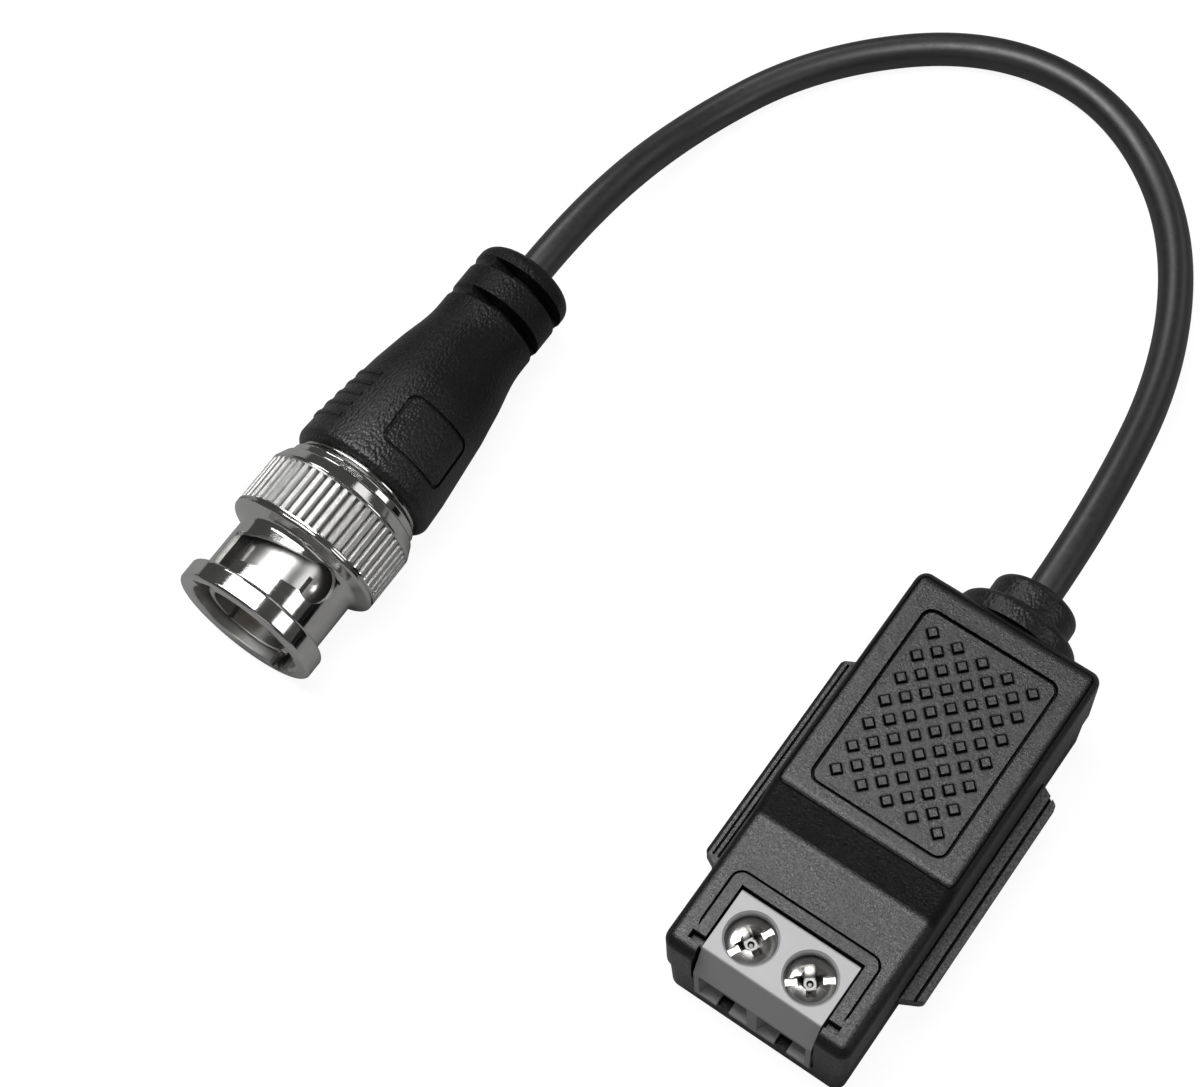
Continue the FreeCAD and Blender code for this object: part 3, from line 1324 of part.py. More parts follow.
def main():
    """Write one STEP file per piece."""
    pieces = {
        "top_cover": make_top_cover(),
        "base_shell": make_base_shell(),
        "terminal_block": make_terminal_block(),
        "terminal_screw_left": make_terminal_screw(POLES["left"], SLOT_ANGLE_LEFT),
        "terminal_screw_right": make_terminal_screw(POLES["right"], SLOT_ANGLE_RIGHT),
        "wire_clamp_left": make_wire_clamp(POLES["left"]),
        "wire_clamp_right": make_wire_clamp(POLES["right"]),
        "terminal_contact_left": make_terminal_contact(POLES["left"]),
        "terminal_contact_right": make_terminal_contact(POLES["right"]),
        "circuit_board": make_circuit_board(),
        "ferrite_core": make_ferrite_core(),
        "winding_line": make_winding(-1.0),
        "winding_video": make_winding(1.0),
        "surge_protector": make_chip(1.0, SURGE_SIZE),
        "capacitor": make_chip(-1.0, CAPACITOR_SIZE),
        "cable_gland": make_cable_gland(),
        "cable_tail": make_cable_tail(),
        "core_lead": make_core_lead(),
        "shield_lead": make_shield_lead(),
        "cable": make_cable(),
        "plug_cable_tail": make_plug_cable_tail(),
        "plug_boot": make_plug_boot(),
        "plug_body": make_plug_body(),
        "plug_insulator": make_plug_insulator(),
        "plug_pin": make_plug_pin(),
        "crimp_ferrule": make_crimp_ferrule(),
        "gasket": make_gasket(),
        "spring_washer": make_spring_washer(),
        "thrust_ring": make_thrust_ring(),
        "coupling_nut": make_coupling_nut(),
    }
    os.makedirs("parts", exist_ok=True)
    for name, shape in pieces.items():
        state = "ok" if shape.isValid() and len(shape.Solids) == 1 else "CHECK"
        print("%-24s %-5s solids %d volume %9.3f" % (name, state, len(shape.Solids), shape.Volume))
        shape.exportStep("parts/" + name + ".step")


main()
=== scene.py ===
"""Studio view of the video balun: black housing, grey screw terminal, coax lead and plug.

Everything is in metres, in the model's own frame: +Z up, the housing along Y
with its screw terminal towards -Y, and the lead leaving towards +Y.
"""
import bpy
import math
from mathutils import Matrix, Vector


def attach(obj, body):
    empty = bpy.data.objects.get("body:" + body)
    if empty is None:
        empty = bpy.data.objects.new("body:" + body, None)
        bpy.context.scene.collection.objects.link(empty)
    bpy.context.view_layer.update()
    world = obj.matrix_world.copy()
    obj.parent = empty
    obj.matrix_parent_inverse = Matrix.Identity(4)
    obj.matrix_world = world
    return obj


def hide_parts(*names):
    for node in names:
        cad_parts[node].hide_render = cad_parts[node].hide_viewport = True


MM = 0.001

# Camera, from the photograph's perspective
CAMERA_PLACE = (26.82 * MM, -62.69 * MM, 198.42 * MM)
CAMERA_RIGHT = (0.8148, 0.5783, -0.0413)
CAMERA_UP = (-0.5116, 0.7507, 0.4181)
CAMERA_BACK = (0.2728, -0.3195, 0.9075)
SENSOR_WIDTH = 36.0
LENS = 81.0

# Lead: the route's control points, in millimetres
LEAD_DIAMETER = 2.9 * MM
LEAD_ROUTE = [
    (0.0, 19.68, 7.3),
    (0.0, 28.75, 7.3),
    (-2.7, 45.65, 3.6),
    (-9.9, 59.15, 1.47),
    (-20.9, 66.05, 1.47),
    (-32.8, 64.65, 1.47),
    (-43.7, 54.95, 1.47),
    (-49.0, 42.55, 2.0),
    (-49.5, 28.75, 6.72),
    (-49.5, 21.1, 6.72),
]

# Knurled band of the coupling nut along Y, where its coarser skin and its painted groove shade fade
# in and out
KNURL_FRONT = (-8.85 * MM, -8.65 * MM)
KNURL_REAR = (-4.75 * MM, -4.55 * MM)

# Where the grooved rail starts along X (its coarser skin, and a painted highlight that lightens its
# colour and raises its sheen), and the stud foot along Z, above which steep faces take their full
# painted shade
RAIL_START = (7.85 * MM, 8.0 * MM)
STUD_FOOT = (12.6 * MM, 12.65 * MM)

# Depth along Z below which painted shade darkens the screws' cross recesses
RECESS = (9.8 * MM, 10.15 * MM)

# Along Y, the stretch over which painted shade dims the boot's sheen from its grip to its tail
BOOT_FADE = (2.0 * MM, 8.0 * MM)

# The plug's axis in X and Z, and the radii between which its duller bore ends
PLUG_AXIS = (-49.5 * MM, 6.72 * MM)
BORE_SKIN = (5.2 * MM, 5.35 * MM)

# Slope of a face's normal in Z, from steep to nearly level, over which painted shade on walls and
# steep slopes fades out
STEEP = (0.90, 0.985)

# Pointiness between a flat and a worn outer edge
WORN_EDGE = (0.505, 0.53)

# Floor: its size, its glow to the camera, and the grey that it shows to everything else
FLOOR_SIZE = 3.0
FLOOR_GLOW = 1.15
FLOOR_GLOW_SHARE = 0.80
FLOOR_CALM = 0.30

# Lights: the point that most of them face, their powers, and the room's own light
LIGHT_TARGET = (-0.02, 0.01, 0.0)
SOFTBOX_POWER = 0.90
KEY_POWER = 0.30
FILL_POWER = 0.22
FRONT_POWER = 0.055
REAR_POWER = 0.10
ROOM_STRENGTH = 0.07


class Shader:
    """Small helper that builds one node material."""

    def __init__(self, name, color, roughness, metallic=0.0, specular=0.5):
        self.material = bpy.data.materials.new(name)
        self.material.use_nodes = True
        self.tree = self.material.node_tree
        self.bsdf = self.tree.nodes["Principled BSDF"]
        self.bsdf.inputs["Base Color"].default_value = (*color, 1.0)
        self.bsdf.inputs["Roughness"].default_value = roughness
        self.bsdf.inputs["Metallic"].default_value = metallic
        self.bsdf.inputs["Specular IOR Level"].default_value = specular
        self.place = self.tree.nodes.new("ShaderNodeTexCoord").outputs["Object"]
        self.normal = None
        self.color = None

    def node(self, kind, **settings):
        """A new node with its plain settings."""
        made = self.tree.nodes.new(kind)
        for key, value in settings.items():
            setattr(made, key, value)
        return made

    def link(self, source, target):
        self.tree.links.new(source, target)

    def noise(self, size, detail=3.0, roughness=0.5, stretch=None, distortion=0.0):
        """Noise whose features are about this size, in metres."""
        made = self.node("ShaderNodeTexNoise")
        made.inputs["Scale"].default_value = 1.0 / size
        made.inputs["Detail"].default_value = detail
        made.inputs["Roughness"].default_value = roughness
        made.inputs["Distortion"].default_value = distortion
        self.link(self.mapped(stretch), made.inputs["Vector"])
        return made.outputs["Fac"]

    def cells(self, size, stretch=None):
        """Voronoi distance, for pebbled leather grain."""
        made = self.node("ShaderNodeTexVoronoi", feature="F1")
        made.inputs["Scale"].default_value = 1.0 / size
        self.link(self.mapped(stretch), made.inputs["Vector"])
        return made.outputs["Distance"]

    def mapped(self, stretch):
        if stretch is None:
            return self.place
        made = self.node("ShaderNodeMapping")
        made.inputs["Scale"].default_value = stretch
        self.link(self.place, made.inputs["Vector"])
        return made.outputs["Vector"]

    def ramp(self, value, low, high, start=0.0, stop=1.0):
        """Value between start and stop remapped to low..high."""
        made = self.node("ShaderNodeMapRange")
        made.inputs["From Min"].default_value = start
        made.inputs["From Max"].default_value = stop
        made.inputs["To Min"].default_value = low
        made.inputs["To Max"].default_value = high
        self.link(value, made.inputs["Value"])
        return made.outputs["Result"]

    def math(self, operation, a, b):
        made = self.node("ShaderNodeMath", operation=operation)
        for k, value in enumerate((a, b)):
            if isinstance(value, (int, float)):
                made.inputs[k].default_value = value
            else:
                self.link(value, made.inputs[k])
        return made.outputs["Value"]

    def tint(self, factor, first, second):
        """Base colour between two colours by a factor."""
        made = self.node("ShaderNodeMix", data_type="RGBA")
        self.link(factor, made.inputs["Factor"])
        made.inputs["A"].default_value = (*first, 1.0)
        made.inputs["B"].default_value = (*second, 1.0)
        self.color = made.outputs["Result"]
        self.link(self.color, self.bsdf.inputs["Base Color"])

    def blend(self, factor, other):
        """Takes the base colour, once it is tinted, towards another one."""
        made = self.node("ShaderNodeMix", data_type="RGBA")
        self.link(factor, made.inputs["Factor"])
        self.link(self.color, made.inputs["A"])
        made.inputs["B"].default_value = (*other, 1.0)
        self.color = made.outputs["Result"]
        self.link(self.color, self.bsdf.inputs["Base Color"])

    def rough(self, value):
        self.link(value, self.bsdf.inputs["Roughness"])

    def bump(self, height, distance, strength=1.0):
        """Adds one layer of relief, distance in metres."""
        made = self.node("ShaderNodeBump")
        made.inputs["Strength"].default_value = strength
        made.inputs["Distance"].default_value = distance
        self.link(height, made.inputs["Height"])
        if self.normal is not None:
            self.link(self.normal, made.inputs["Normal"])
        self.normal = made.outputs["Normal"]
        self.link(self.normal, self.bsdf.inputs["Normal"])

    def sheltered(self, distance):
        """1 in the open and 0 deep in corners narrower than this distance."""
        made = self.node("ShaderNodeAmbientOcclusion", samples=6)
        made.inputs["Distance"].default_value = distance
        return made.outputs["AO"]

    def sheen(self, value):
        """Drives how strongly the surface mirrors at its own roughness."""
        self.link(value, self.bsdf.inputs["Specular IOR Level"])

    def along(self, axis):
        """One coordinate of the piece, in metres."""
        split = self.node("ShaderNodeSeparateXYZ")
        self.link(self.place, split.inputs["Vector"])
        return split.outputs[axis]

    def upright(self):
        """1 on walls and steep slopes, and 0 on faces that look up."""
        geometry = self.node("ShaderNodeNewGeometry")
        split = self.node("ShaderNodeSeparateXYZ")
        self.link(geometry.outputs["True Normal"], split.inputs["Vector"])
        return self.ramp(split.outputs["Z"], 1.0, 0.0, *STEEP)

    def from_plug_axis(self):
        """Distance from the plug's own axis, in metres."""
        flat = self.node("ShaderNodeCombineXYZ")
        self.link(self.along("X"), flat.inputs["X"])
        self.link(self.along("Z"), flat.inputs["Z"])
        reach = self.node("ShaderNodeVectorMath", operation="DISTANCE")
        self.link(flat.outputs["Vector"], reach.inputs[0])
        reach.inputs[1].default_value = (PLUG_AXIS[0], 0.0, PLUG_AXIS[1])
        return reach.outputs["Value"]

    def edge_wear(self):
        """0 on flats and 1 on worn outer edges."""
        geometry = self.node("ShaderNodeNewGeometry")
        return self.ramp(geometry.outputs["Pointiness"], 0.0, 1.0, *WORN_EDGE)


def housing_plastic():
    """Black ABS with spark-eroded grain, faint flow marks and scuffed edges, with painted shade in
    its corners and on its steep faces, and a painted highlight on the rail.
    """
    s = Shader("housing_plastic", (0.010, 0.010, 0.010), 0.40)
    grain = s.noise(0.13 * MM, 4.0, 0.68)
    coarse = s.noise(0.30 * MM, 2.0, 0.5)
    cloud = s.noise(3.6 * MM, 4.0, 0.55)
    swirl = s.noise(0.5 * MM, 3.0, 0.6, (0.22, 1.6, 1.0), 1.4)
    speck = s.ramp(s.noise(0.18 * MM, 2.0, 0.7), 0.0, 1.0, 0.62, 0.72)
    wear = s.math("MULTIPLY", s.edge_wear(), 0.35)
    marks = s.math("ADD", s.math("MULTIPLY", speck, 0.30), wear)
    rail = s.ramp(s.along("X"), 0.0, 1.0, *RAIL_START)
    # Painted shade: the base colour darkens and the sheen dims in corners narrower than 0.22 mm
    clear_of_painted_shade = s.ramp(s.sheltered(0.22 * MM), 0.0, 1.0, 0.80, 0.93)
    # Painted shade on walls and steep slopes, weaker below the stud foot and left off the rail
    slope = s.upright()
    flank_painted_shade = s.math("MULTIPLY", slope, s.ramp(s.along("Z"), 0.6, 1.0, *STUD_FOOT))
    flank_painted_shade = s.math("MULTIPLY", flank_painted_shade, s.ramp(rail, 1.0, 0.0))
    clear_of_painted_shade = s.math("MULTIPLY", clear_of_painted_shade, s.ramp(flank_painted_shade, 1.0, 0.05))
    s.tint(marks, (0.006, 0.006, 0.0062), (0.060, 0.060, 0.062))
    # Painted highlight: a mottled lighter grey on the rail
    painted_highlight_mottle = s.ramp(s.noise(0.20 * MM, 3.0, 0.6), 0.15, 1.0, 0.40, 0.62)
    s.blend(s.math("MULTIPLY", painted_highlight_mottle, rail), (0.16, 0.16, 0.162))
    # Painted shade: corners and steep faces darken to near black
    s.blend(s.ramp(clear_of_painted_shade, 1.0, 0.0), (0.002, 0.002, 0.002))
    finish = s.ramp(s.math("ADD", cloud, s.math("MULTIPLY", swirl, 0.45)), 0.22, 0.33, 0.45, 1.0)
    s.rough(s.math("ADD", finish, s.math("MULTIPLY", rail, 0.22)))
    glint = s.ramp(grain, 0.45, 1.55, 0.34, 0.66)
    # Painted shade dims the sheen in corners and on steep faces, and the grain varies it
    sheen_under_painted_shade = s.math("MULTIPLY", s.ramp(clear_of_painted_shade, 0.0, 0.68), glint)
    # Painted highlight: the rail's sheen is raised by about half
    s.sheen(s.math("MULTIPLY", sheen_under_painted_shade, s.ramp(rail, 1.0, 1.45)))
    s.bump(cloud, 0.012 * MM, 0.5)
    s.bump(coarse, 0.022 * MM, 0.7)
    s.bump(grain, 0.036 * MM, 1.0)
    s.bump(s.math("MULTIPLY", coarse, rail), 0.12 * MM, 1.0)
    return s.material


def terminal_plastic():
    """Light grey nylon with a soft moulded sheen, with painted shade in its corners and on its
    walls.
    """
    s = Shader("terminal_plastic", (0.56, 0.56, 0.565), 0.45)
    cloud = s.noise(1.6 * MM, 4.0, 0.6)
    fine = s.noise(0.12 * MM, 3.0, 0.6)
    speck = s.ramp(s.noise(0.30 * MM, 2.0, 0.7), 0.0, 1.0, 0.66, 0.76)
    # Painted shade: darker in corners narrower than 0.8 mm
    painted_corner_shade = s.ramp(s.sheltered(0.8 * MM), 0.5, 0.0, 0.2, 0.95)
    tone_and_painted_shade = s.math(
        "ADD",
        s.math("MULTIPLY", cloud, 0.25),
        s.math("ADD", painted_corner_shade, s.math("MULTIPLY", speck, 0.15)),
    )
    s.tint(tone_and_painted_shade, (0.58, 0.58, 0.585), (0.28, 0.28, 0.29))
    # Painted shade: walls and steep slopes take a darker grey
    s.blend(s.math("MULTIPLY", s.upright(), 0.8), (0.33, 0.33, 0.335))
    s.rough(s.ramp(fine, 0.36, 0.55))
    s.bump(cloud, 0.015 * MM, 0.4)
    s.bump(fine, 0.008 * MM, 0.6)
    return s.material


def plated_steel(name, dark, light, roughness, recess=None):
    """Plated steel with fine scratches and dull patches, with painted shade in its corners and,
    when a recess is given, below the recess's mouth.
    """
    s = Shader(name, light, roughness, 1.0)
    patch = s.noise(1.1 * MM, 2.0, 0.5)
    scratch = s.noise(0.12 * MM, 2.0, 0.5, (1.0, 14.0, 1.0), 0.6)
    s.tint(patch, dark, light)
    s.rough(s.ramp(s.math("MULTIPLY", patch, scratch), roughness * 0.6, roughness * 1.5, 0.1, 0.45))
    # Painted shade: darker in corners narrower than 0.5 mm
    s.blend(s.ramp(s.sheltered(0.5 * MM), 0.75, 0.0, 0.25, 0.85), (0.05, 0.05, 0.05))
    if recess is not None:
        # Painted shade: below the recess's mouth the colour turns near black
        s.blend(s.ramp(s.along("Z"), 0.8, 0.0, *recess), (0.04, 0.04, 0.04))
    s.bump(patch, 0.03 * MM, 0.35)
    s.bump(scratch, 0.003 * MM, 0.5)
    return s.material


def nickel_plate():
    """Bright nickel: smooth turned faces, and a coarser skin on the knurled band, with painted
    shade in the knurl's grooves.
    """
    s = Shader("nickel_plate", (0.66, 0.655, 0.64), 0.12, 1.0)
    haze = s.noise(1.8 * MM, 4.0, 0.6)
    turning = s.noise(0.10 * MM, 2.0, 0.5, (0.12, 3.0, 0.12))
    rolled = s.noise(0.16 * MM, 3.0, 0.65)
    ding = s.ramp(s.noise(0.4 * MM, 3.0, 0.7), 0.0, 1.0, 0.66, 0.72)
    y = s.along("Y")
    band = s.math("MULTIPLY", s.ramp(y, 0.0, 1.0, *KNURL_FRONT), s.ramp(y, 1.0, 0.0, *KNURL_REAR))
    s.tint(haze, (0.60, 0.595, 0.585), (0.80, 0.795, 0.78))
    # Painted shade: the knurl's grooves turn near black
    painted_groove_shade = s.ramp(s.sheltered(0.35 * MM), 0.75, 0.0, 0.45, 0.85)
    s.blend(s.math("MULTIPLY", painted_groove_shade, band), (0.02, 0.02, 0.02))
    base = s.math("ADD", s.ramp(haze, 0.05, 0.14, 0.3, 0.75), s.math("MULTIPLY", ding, 0.12))
    bore = s.ramp(s.from_plug_axis(), 0.24, 0.0, *BORE_SKIN)
    s.rough(s.math("ADD", s.math("ADD", base, bore), s.math("MULTIPLY", band, 0.27)))
    s.bump(turning, 0.003 * MM, 0.5)
    s.bump(haze, 0.03 * MM, 0.25)
    s.bump(s.math("MULTIPLY", rolled, band), 0.08 * MM, 1.0)
    return s.material


def grained_pvc(name, grain, depth, fade=None):
    """Black PVC with a leather grain of this size and depth; painted shade dims its sheen in
    corners and, when a fade is given, past a stretch along Y.
    """
    s = Shader(name, (0.009, 0.009, 0.009), 0.36)
    pebble = s.cells(grain, (1.0, 0.7, 1.0))
    fine = s.noise(0.09 * MM, 3.0, 0.65)
    cloud = s.noise(3.0 * MM, 3.0, 0.5)
    speck = s.ramp(s.noise(0.25 * MM, 2.0, 0.7), 0.0, 1.0, 0.72, 0.78)
    s.tint(s.math("MULTIPLY", speck, 0.5), (0.0085, 0.0085, 0.009), (0.06, 0.06, 0.06))
    s.rough(s.ramp(s.math("ADD", cloud, s.math("MULTIPLY", fine, 0.4)), 0.26, 0.40, 0.4, 1.0))
    # Painted shade: the sheen dims in corners narrower than 0.5 mm, and along Y past the fade
    sheen_under_painted_shade = s.ramp(s.sheltered(0.5 * MM), 0.02, 0.52, 0.45, 0.92)
    if fade is not None:
        sheen_under_painted_shade = s.math("MULTIPLY", sheen_under_painted_shade, s.ramp(s.along("Y"), 1.0, 0.36, *fade))
    s.sheen(sheen_under_painted_shade)
    s.bump(cloud, 0.03 * MM, 0.4)
    s.bump(s.math("MULTIPLY", pebble, -1.0), depth, 0.9)
    s.bump(fine, 0.014 * MM, 0.8)
    return s.material


def smooth_pvc(name):
    """Smooth black PVC of the jacket, with soft streaks."""
    s = Shader(name, (0.010, 0.010, 0.010), 0.34, 0.0, 1.0)
    streak = s.noise(0.6 * MM, 3.0, 0.5)
    fine = s.noise(0.10 * MM, 3.0, 0.55)
    speck = s.ramp(s.noise(0.22 * MM, 2.0, 0.7), 0.0, 1.0, 0.74, 0.80)
    s.tint(s.math("ADD", s.math("MULTIPLY", speck, 0.5), s.math("MULTIPLY", streak, 0.10)),
           (0.008, 0.008, 0.0084), (0.07, 0.07, 0.07))
    s.rough(s.ramp(s.math("ADD", streak, fine), 0.34, 0.48, 0.6, 1.4))
    s.bump(fine, 0.008 * MM, 0.6)
    s.bump(streak, 0.020 * MM, 0.4)
    return s.material


def plain_plastic(name, dark, light, roughness, size):
    """Moulded inner pieces: a mottled colour with a fine skin."""
    s = Shader(name, light, roughness)
    cloud = s.noise(size, 4.0, 0.6)
    fine = s.noise(size / 8.0, 3.0, 0.6)
    s.tint(cloud, dark, light)
    s.rough(s.ramp(fine, roughness * 0.8, roughness * 1.2))
    s.bump(fine, size * 0.01, 0.5)
    return s.material


def board_laminate():
    """Green solder mask over copper tracks."""
    s = Shader("board_laminate", (0.02, 0.13, 0.05), 0.28)
    weave = s.node("ShaderNodeTexChecker")
    weave.inputs["Scale"].default_value = 1.0 / (0.35 * MM)
    s.link(s.place, weave.inputs["Vector"])
    track = s.node("ShaderNodeTexWave", wave_type="BANDS", bands_direction="X")
    track.inputs["Scale"].default_value = 1.0 / (9.0 * MM)
    track.inputs["Distortion"].default_value = 2.0
    s.link(s.place, track.inputs["Vector"])
    copper = s.ramp(track.outputs["Fac"], 0.0, 1.0, 0.62, 0.7)
    s.tint(copper, (0.015, 0.11, 0.04), (0.03, 0.19, 0.07))
    s.rough(s.ramp(weave.outputs["Fac"], 0.24, 0.32))
    s.bump(weave.outputs["Fac"], 0.004 * MM, 0.4)
    return s.material


def wound_wire():
    """Enamelled copper turns, drawn as close radial ridges."""
    s = Shader("enamelled_wire", (0.45, 0.16, 0.06), 0.3, 0.8)
    turns = s.node("ShaderNodeTexWave", wave_type="BANDS", bands_direction="Y")
    turns.inputs["Scale"].default_value = 1.0 / (1.6 * MM)
    s.link(s.place, turns.inputs["Vector"])
    s.tint(turns.outputs["Fac"], (0.22, 0.07, 0.03), (0.60, 0.24, 0.09))
    s.rough(s.ramp(turns.outputs["Fac"], 0.4, 0.25))
    s.bump(turns.outputs["Fac"], 0.08 * MM, 0.8)
    return s.material


def dress_nodes(nodes):
    """Gives each CAD node its material, and returns the jacket's for the lead."""
    jacket = smooth_pvc("cable_jacket")
    gland = grained_pvc("gland_plastic", 0.24 * MM, 0.040 * MM)
    housing = housing_plastic()
    nickel = nickel_plate()
    boot = grained_pvc("boot_plastic", 0.22 * MM, 0.060 * MM, BOOT_FADE)
    terminal = terminal_plastic()
    screw = plated_steel("screw_steel", (0.54, 0.53, 0.515), (0.84, 0.83, 0.805), 0.20, RECESS)
    clamp = plated_steel("clamp_steel", (0.40, 0.40, 0.38), (0.62, 0.61, 0.58), 0.34)
    contact = plated_steel("contact_metal", (0.55, 0.54, 0.51), (0.72, 0.71, 0.68), 0.3)
    spring = plated_steel("spring_steel", (0.42, 0.42, 0.41), (0.60, 0.60, 0.58), 0.3)
    screen = plated_steel("screen_wire", (0.50, 0.44, 0.38), (0.74, 0.70, 0.63), 0.36)
    gold = plated_steel("gold_plate", (0.60, 0.49, 0.30), (0.78, 0.66, 0.42), 0.24)
    ferrite = plain_plastic("ferrite", (0.03, 0.03, 0.032), (0.065, 0.065, 0.07), 0.7, 0.8 * MM)
    epoxy = plain_plastic(
        "component_black", (0.015, 0.015, 0.016), (0.035, 0.035, 0.036), 0.5, 0.5 * MM
    )
    glaze = plain_plastic("component_tan", (0.42, 0.28, 0.15), (0.56, 0.40, 0.24), 0.3, 0.5 * MM)
    core = plain_plastic("core_insulation", (0.62, 0.62, 0.59), (0.76, 0.76, 0.73), 0.4, 0.5 * MM)
    insulator = plain_plastic(
        "insulator_plastic", (0.66, 0.66, 0.62), (0.80, 0.80, 0.76), 0.35, 1.0 * MM
    )
    seal = plain_plastic("seal_rubber", (0.02, 0.02, 0.02), (0.05, 0.05, 0.05), 0.6, 0.6 * MM)
    looks = {
        "top_cover": housing,
        "base_shell": housing,
        "terminal_block": terminal,
        "terminal_screw_left": screw,
        "terminal_screw_right": screw,
        "wire_clamp_left": clamp,
        "wire_clamp_right": clamp,
        "terminal_contact_left": contact,
        "terminal_contact_right": contact,
        "circuit_board": board_laminate(),
        "ferrite_core": ferrite,
        "winding_line": wound_wire(),
        "winding_video": wound_wire(),
        "surge_protector": epoxy,
        "capacitor": glaze,
        "cable_gland": gland,
        "cable_tail": jacket,
        "core_lead": core,
        "shield_lead": screen,
        "plug_cable_tail": jacket,
        "plug_boot": boot,
        "plug_body": nickel,
        "plug_insulator": insulator,
        "plug_pin": gold,
        "crimp_ferrule": spring,
        "gasket": seal,
        "spring_washer": spring,
        "thrust_ring": spring,
        "coupling_nut": nickel,
        "cable": jacket,
    }
    for name, material in looks.items():
        mesh = nodes[name].data
        mesh.materials.clear()
        mesh.materials.append(material)
    return jacket


def make_lead(jacket):
    """The free lead as one smooth curve with a round section."""
    curve = bpy.data.curves.new("lead", "CURVE")
    curve.dimensions = "3D"
    spline = curve.splines.new("NURBS")
    spline.points.add(len(LEAD_ROUTE) - 1)
    for point, place in zip(spline.points, LEAD_ROUTE):
        point.co = (*[c * MM for c in place], 1.0)
    spline.order_u = 3
    spline.use_endpoint_u = True
    spline.resolution_u = 24
    curve.bevel_depth = LEAD_DIAMETER / 2.0
    curve.bevel_resolution = 10
    curve.use_fill_caps = True
    lead = bpy.data.objects.new("lead", curve)
    bpy.context.scene.collection.objects.link(lead)
    curve.materials.append(jacket)
    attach(lead, "balun")
    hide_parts("cable")


def make_camera():
    data = bpy.data.cameras.new("camera")
    data.sensor_fit = "HORIZONTAL"
    data.sensor_width = SENSOR_WIDTH
    data.lens = LENS
    data.clip_start = 0.01
    data.clip_end = 10.0
    camera = bpy.data.objects.new("camera", data)
    turn = Matrix((CAMERA_RIGHT, CAMERA_UP, CAMERA_BACK)).transposed()
    camera.matrix_world = Matrix.Translation(Vector(CAMERA_PLACE)) @ turn.to_4x4()
    bpy.context.scene.collection.objects.link(camera)
    bpy.context.scene.camera = camera


def make_floor():
    """Pale floor: white to the camera, a calmer grey to everything that it lights."""
    mesh = bpy.data.meshes.new("floor")
    half = FLOOR_SIZE / 2.0
    corners = [(-half, -half, 0.0), (half, -half, 0.0), (half, half, 0.0), (-half, half, 0.0)]
    mesh.from_pydata(corners, [], [(0, 1, 2, 3)])
    floor = bpy.data.objects.new("floor", mesh)
    bpy.context.scene.collection.objects.link(floor)
    material = bpy.data.materials.new("floor")
    material.use_nodes = True
    tree = material.node_tree
    tree.nodes.clear()
    out = tree.nodes.new("ShaderNodeOutputMaterial")
    path = tree.nodes.new("ShaderNodeLightPath")
    mix = tree.nodes.new("ShaderNodeMixShader")
    seen = tree.nodes.new("ShaderNodeMixShader")
    seen.inputs["Fac"].default_value = FLOOR_GLOW_SHARE
    matt = tree.nodes.new("ShaderNodeBsdfDiffuse")
    matt.inputs["Color"].default_value = (0.9, 0.9, 0.9, 1.0)
    glow = tree.nodes.new("ShaderNodeEmission")
    glow.inputs["Color"].default_value = (1.0, 1.0, 1.0, 1.0)
    glow.inputs["Strength"].default_value = FLOOR_GLOW
    calm = tree.nodes.new("ShaderNodeBsdfDiffuse")
    calm.inputs["Color"].default_value = (FLOOR_CALM, FLOOR_CALM, FLOOR_CALM, 1.0)
    tree.links.new(matt.outputs["BSDF"], seen.inputs[1])
    tree.links.new(glow.outputs["Emission"], seen.inputs[2])
    tree.links.new(path.outputs["Is Camera Ray"], mix.inputs["Fac"])
    tree.links.new(calm.outputs["BSDF"], mix.inputs[1])
    tree.links.new(seen.outputs["Shader"], mix.inputs[2])
    tree.links.new(mix.outputs["Shader"], out.inputs["Surface"])
    mesh.materials.append(material)


def area_light(name, place, target, size, power):
    """A white rectangular light that faces its target."""
    data = bpy.data.lights.new(name, "AREA")
    data.shape = "RECTANGLE"
    data.size, data.size_y = size
    data.energy = power
    light = bpy.data.objects.new(name, data)
    light.location = place
    aim = Vector(target) - Vector(place)
    light.rotation_euler = aim.to_track_quat("-Z", "Y").to_euler()
    bpy.context.scene.collection.objects.link(light)


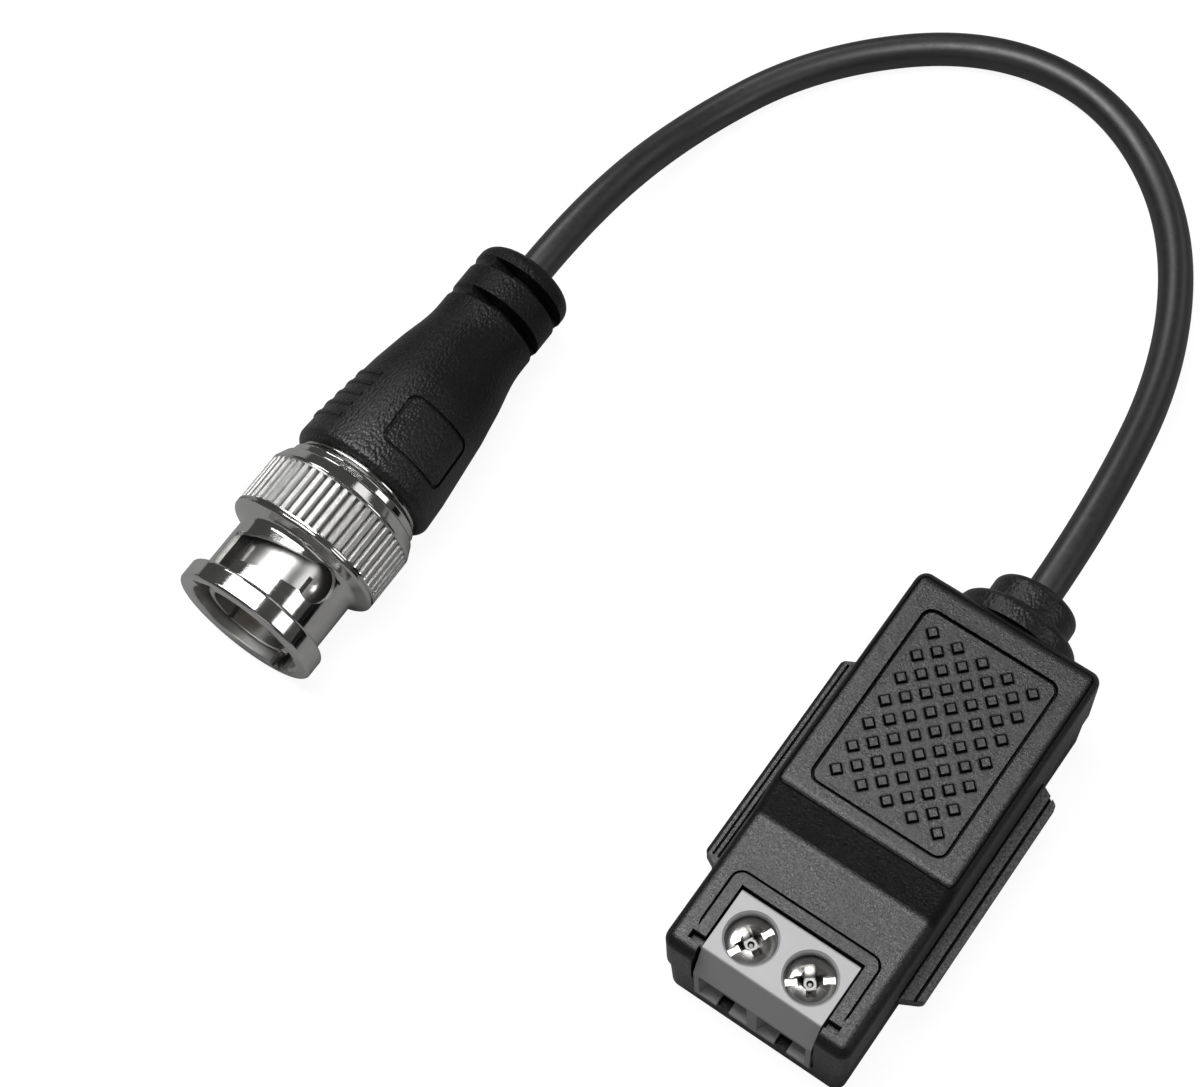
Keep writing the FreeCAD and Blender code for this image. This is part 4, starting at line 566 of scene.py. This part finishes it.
def make_lights():
    """Five area lights, and a room that is white to the camera and dim to everything else."""
    area_light("softbox", (-0.13, 0.0, 0.30), (-0.13, 0.0, 0.0), (0.34, 0.13), SOFTBOX_POWER)
    area_light("key", (-0.34, 0.28, 0.30), LIGHT_TARGET, (0.20, 0.12), KEY_POWER)
    area_light("fill", (0.38, 0.10, 0.26), LIGHT_TARGET, (0.20, 0.20), FILL_POWER)
    area_light("front", (0.10, -0.36, 0.18), LIGHT_TARGET, (0.24, 0.12), FRONT_POWER)
    area_light("rear", (0.12, 0.42, 0.20), LIGHT_TARGET, (0.24, 0.12), REAR_POWER)
    world = bpy.data.worlds.new("studio")
    world.use_nodes = True
    tree = world.node_tree
    tree.nodes.clear()
    out = tree.nodes.new("ShaderNodeOutputWorld")
    path = tree.nodes.new("ShaderNodeLightPath")
    mix = tree.nodes.new("ShaderNodeMixShader")
    white = tree.nodes.new("ShaderNodeBackground")
    white.inputs["Color"].default_value = (1.0, 1.0, 1.0, 1.0)
    room = tree.nodes.new("ShaderNodeBackground")
    room.inputs["Color"].default_value = (1.0, 1.0, 1.0, 1.0)
    room.inputs["Strength"].default_value = ROOM_STRENGTH
    tree.links.new(path.outputs["Is Camera Ray"], mix.inputs["Fac"])
    tree.links.new(room.outputs["Background"], mix.inputs[1])
    tree.links.new(white.outputs["Background"], mix.inputs[2])
    tree.links.new(mix.outputs["Shader"], out.inputs["Surface"])
    bpy.context.scene.world = world


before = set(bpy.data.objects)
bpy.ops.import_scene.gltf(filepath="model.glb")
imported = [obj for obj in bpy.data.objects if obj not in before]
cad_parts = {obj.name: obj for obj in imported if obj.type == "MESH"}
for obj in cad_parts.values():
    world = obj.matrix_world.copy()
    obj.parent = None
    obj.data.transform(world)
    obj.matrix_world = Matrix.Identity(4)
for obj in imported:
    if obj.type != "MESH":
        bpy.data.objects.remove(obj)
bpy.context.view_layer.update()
bpy.context.scene.view_settings.view_transform = "Standard"
make_camera()
jacket = dress_nodes(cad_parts)
make_lead(jacket)
make_floor()
make_lights()
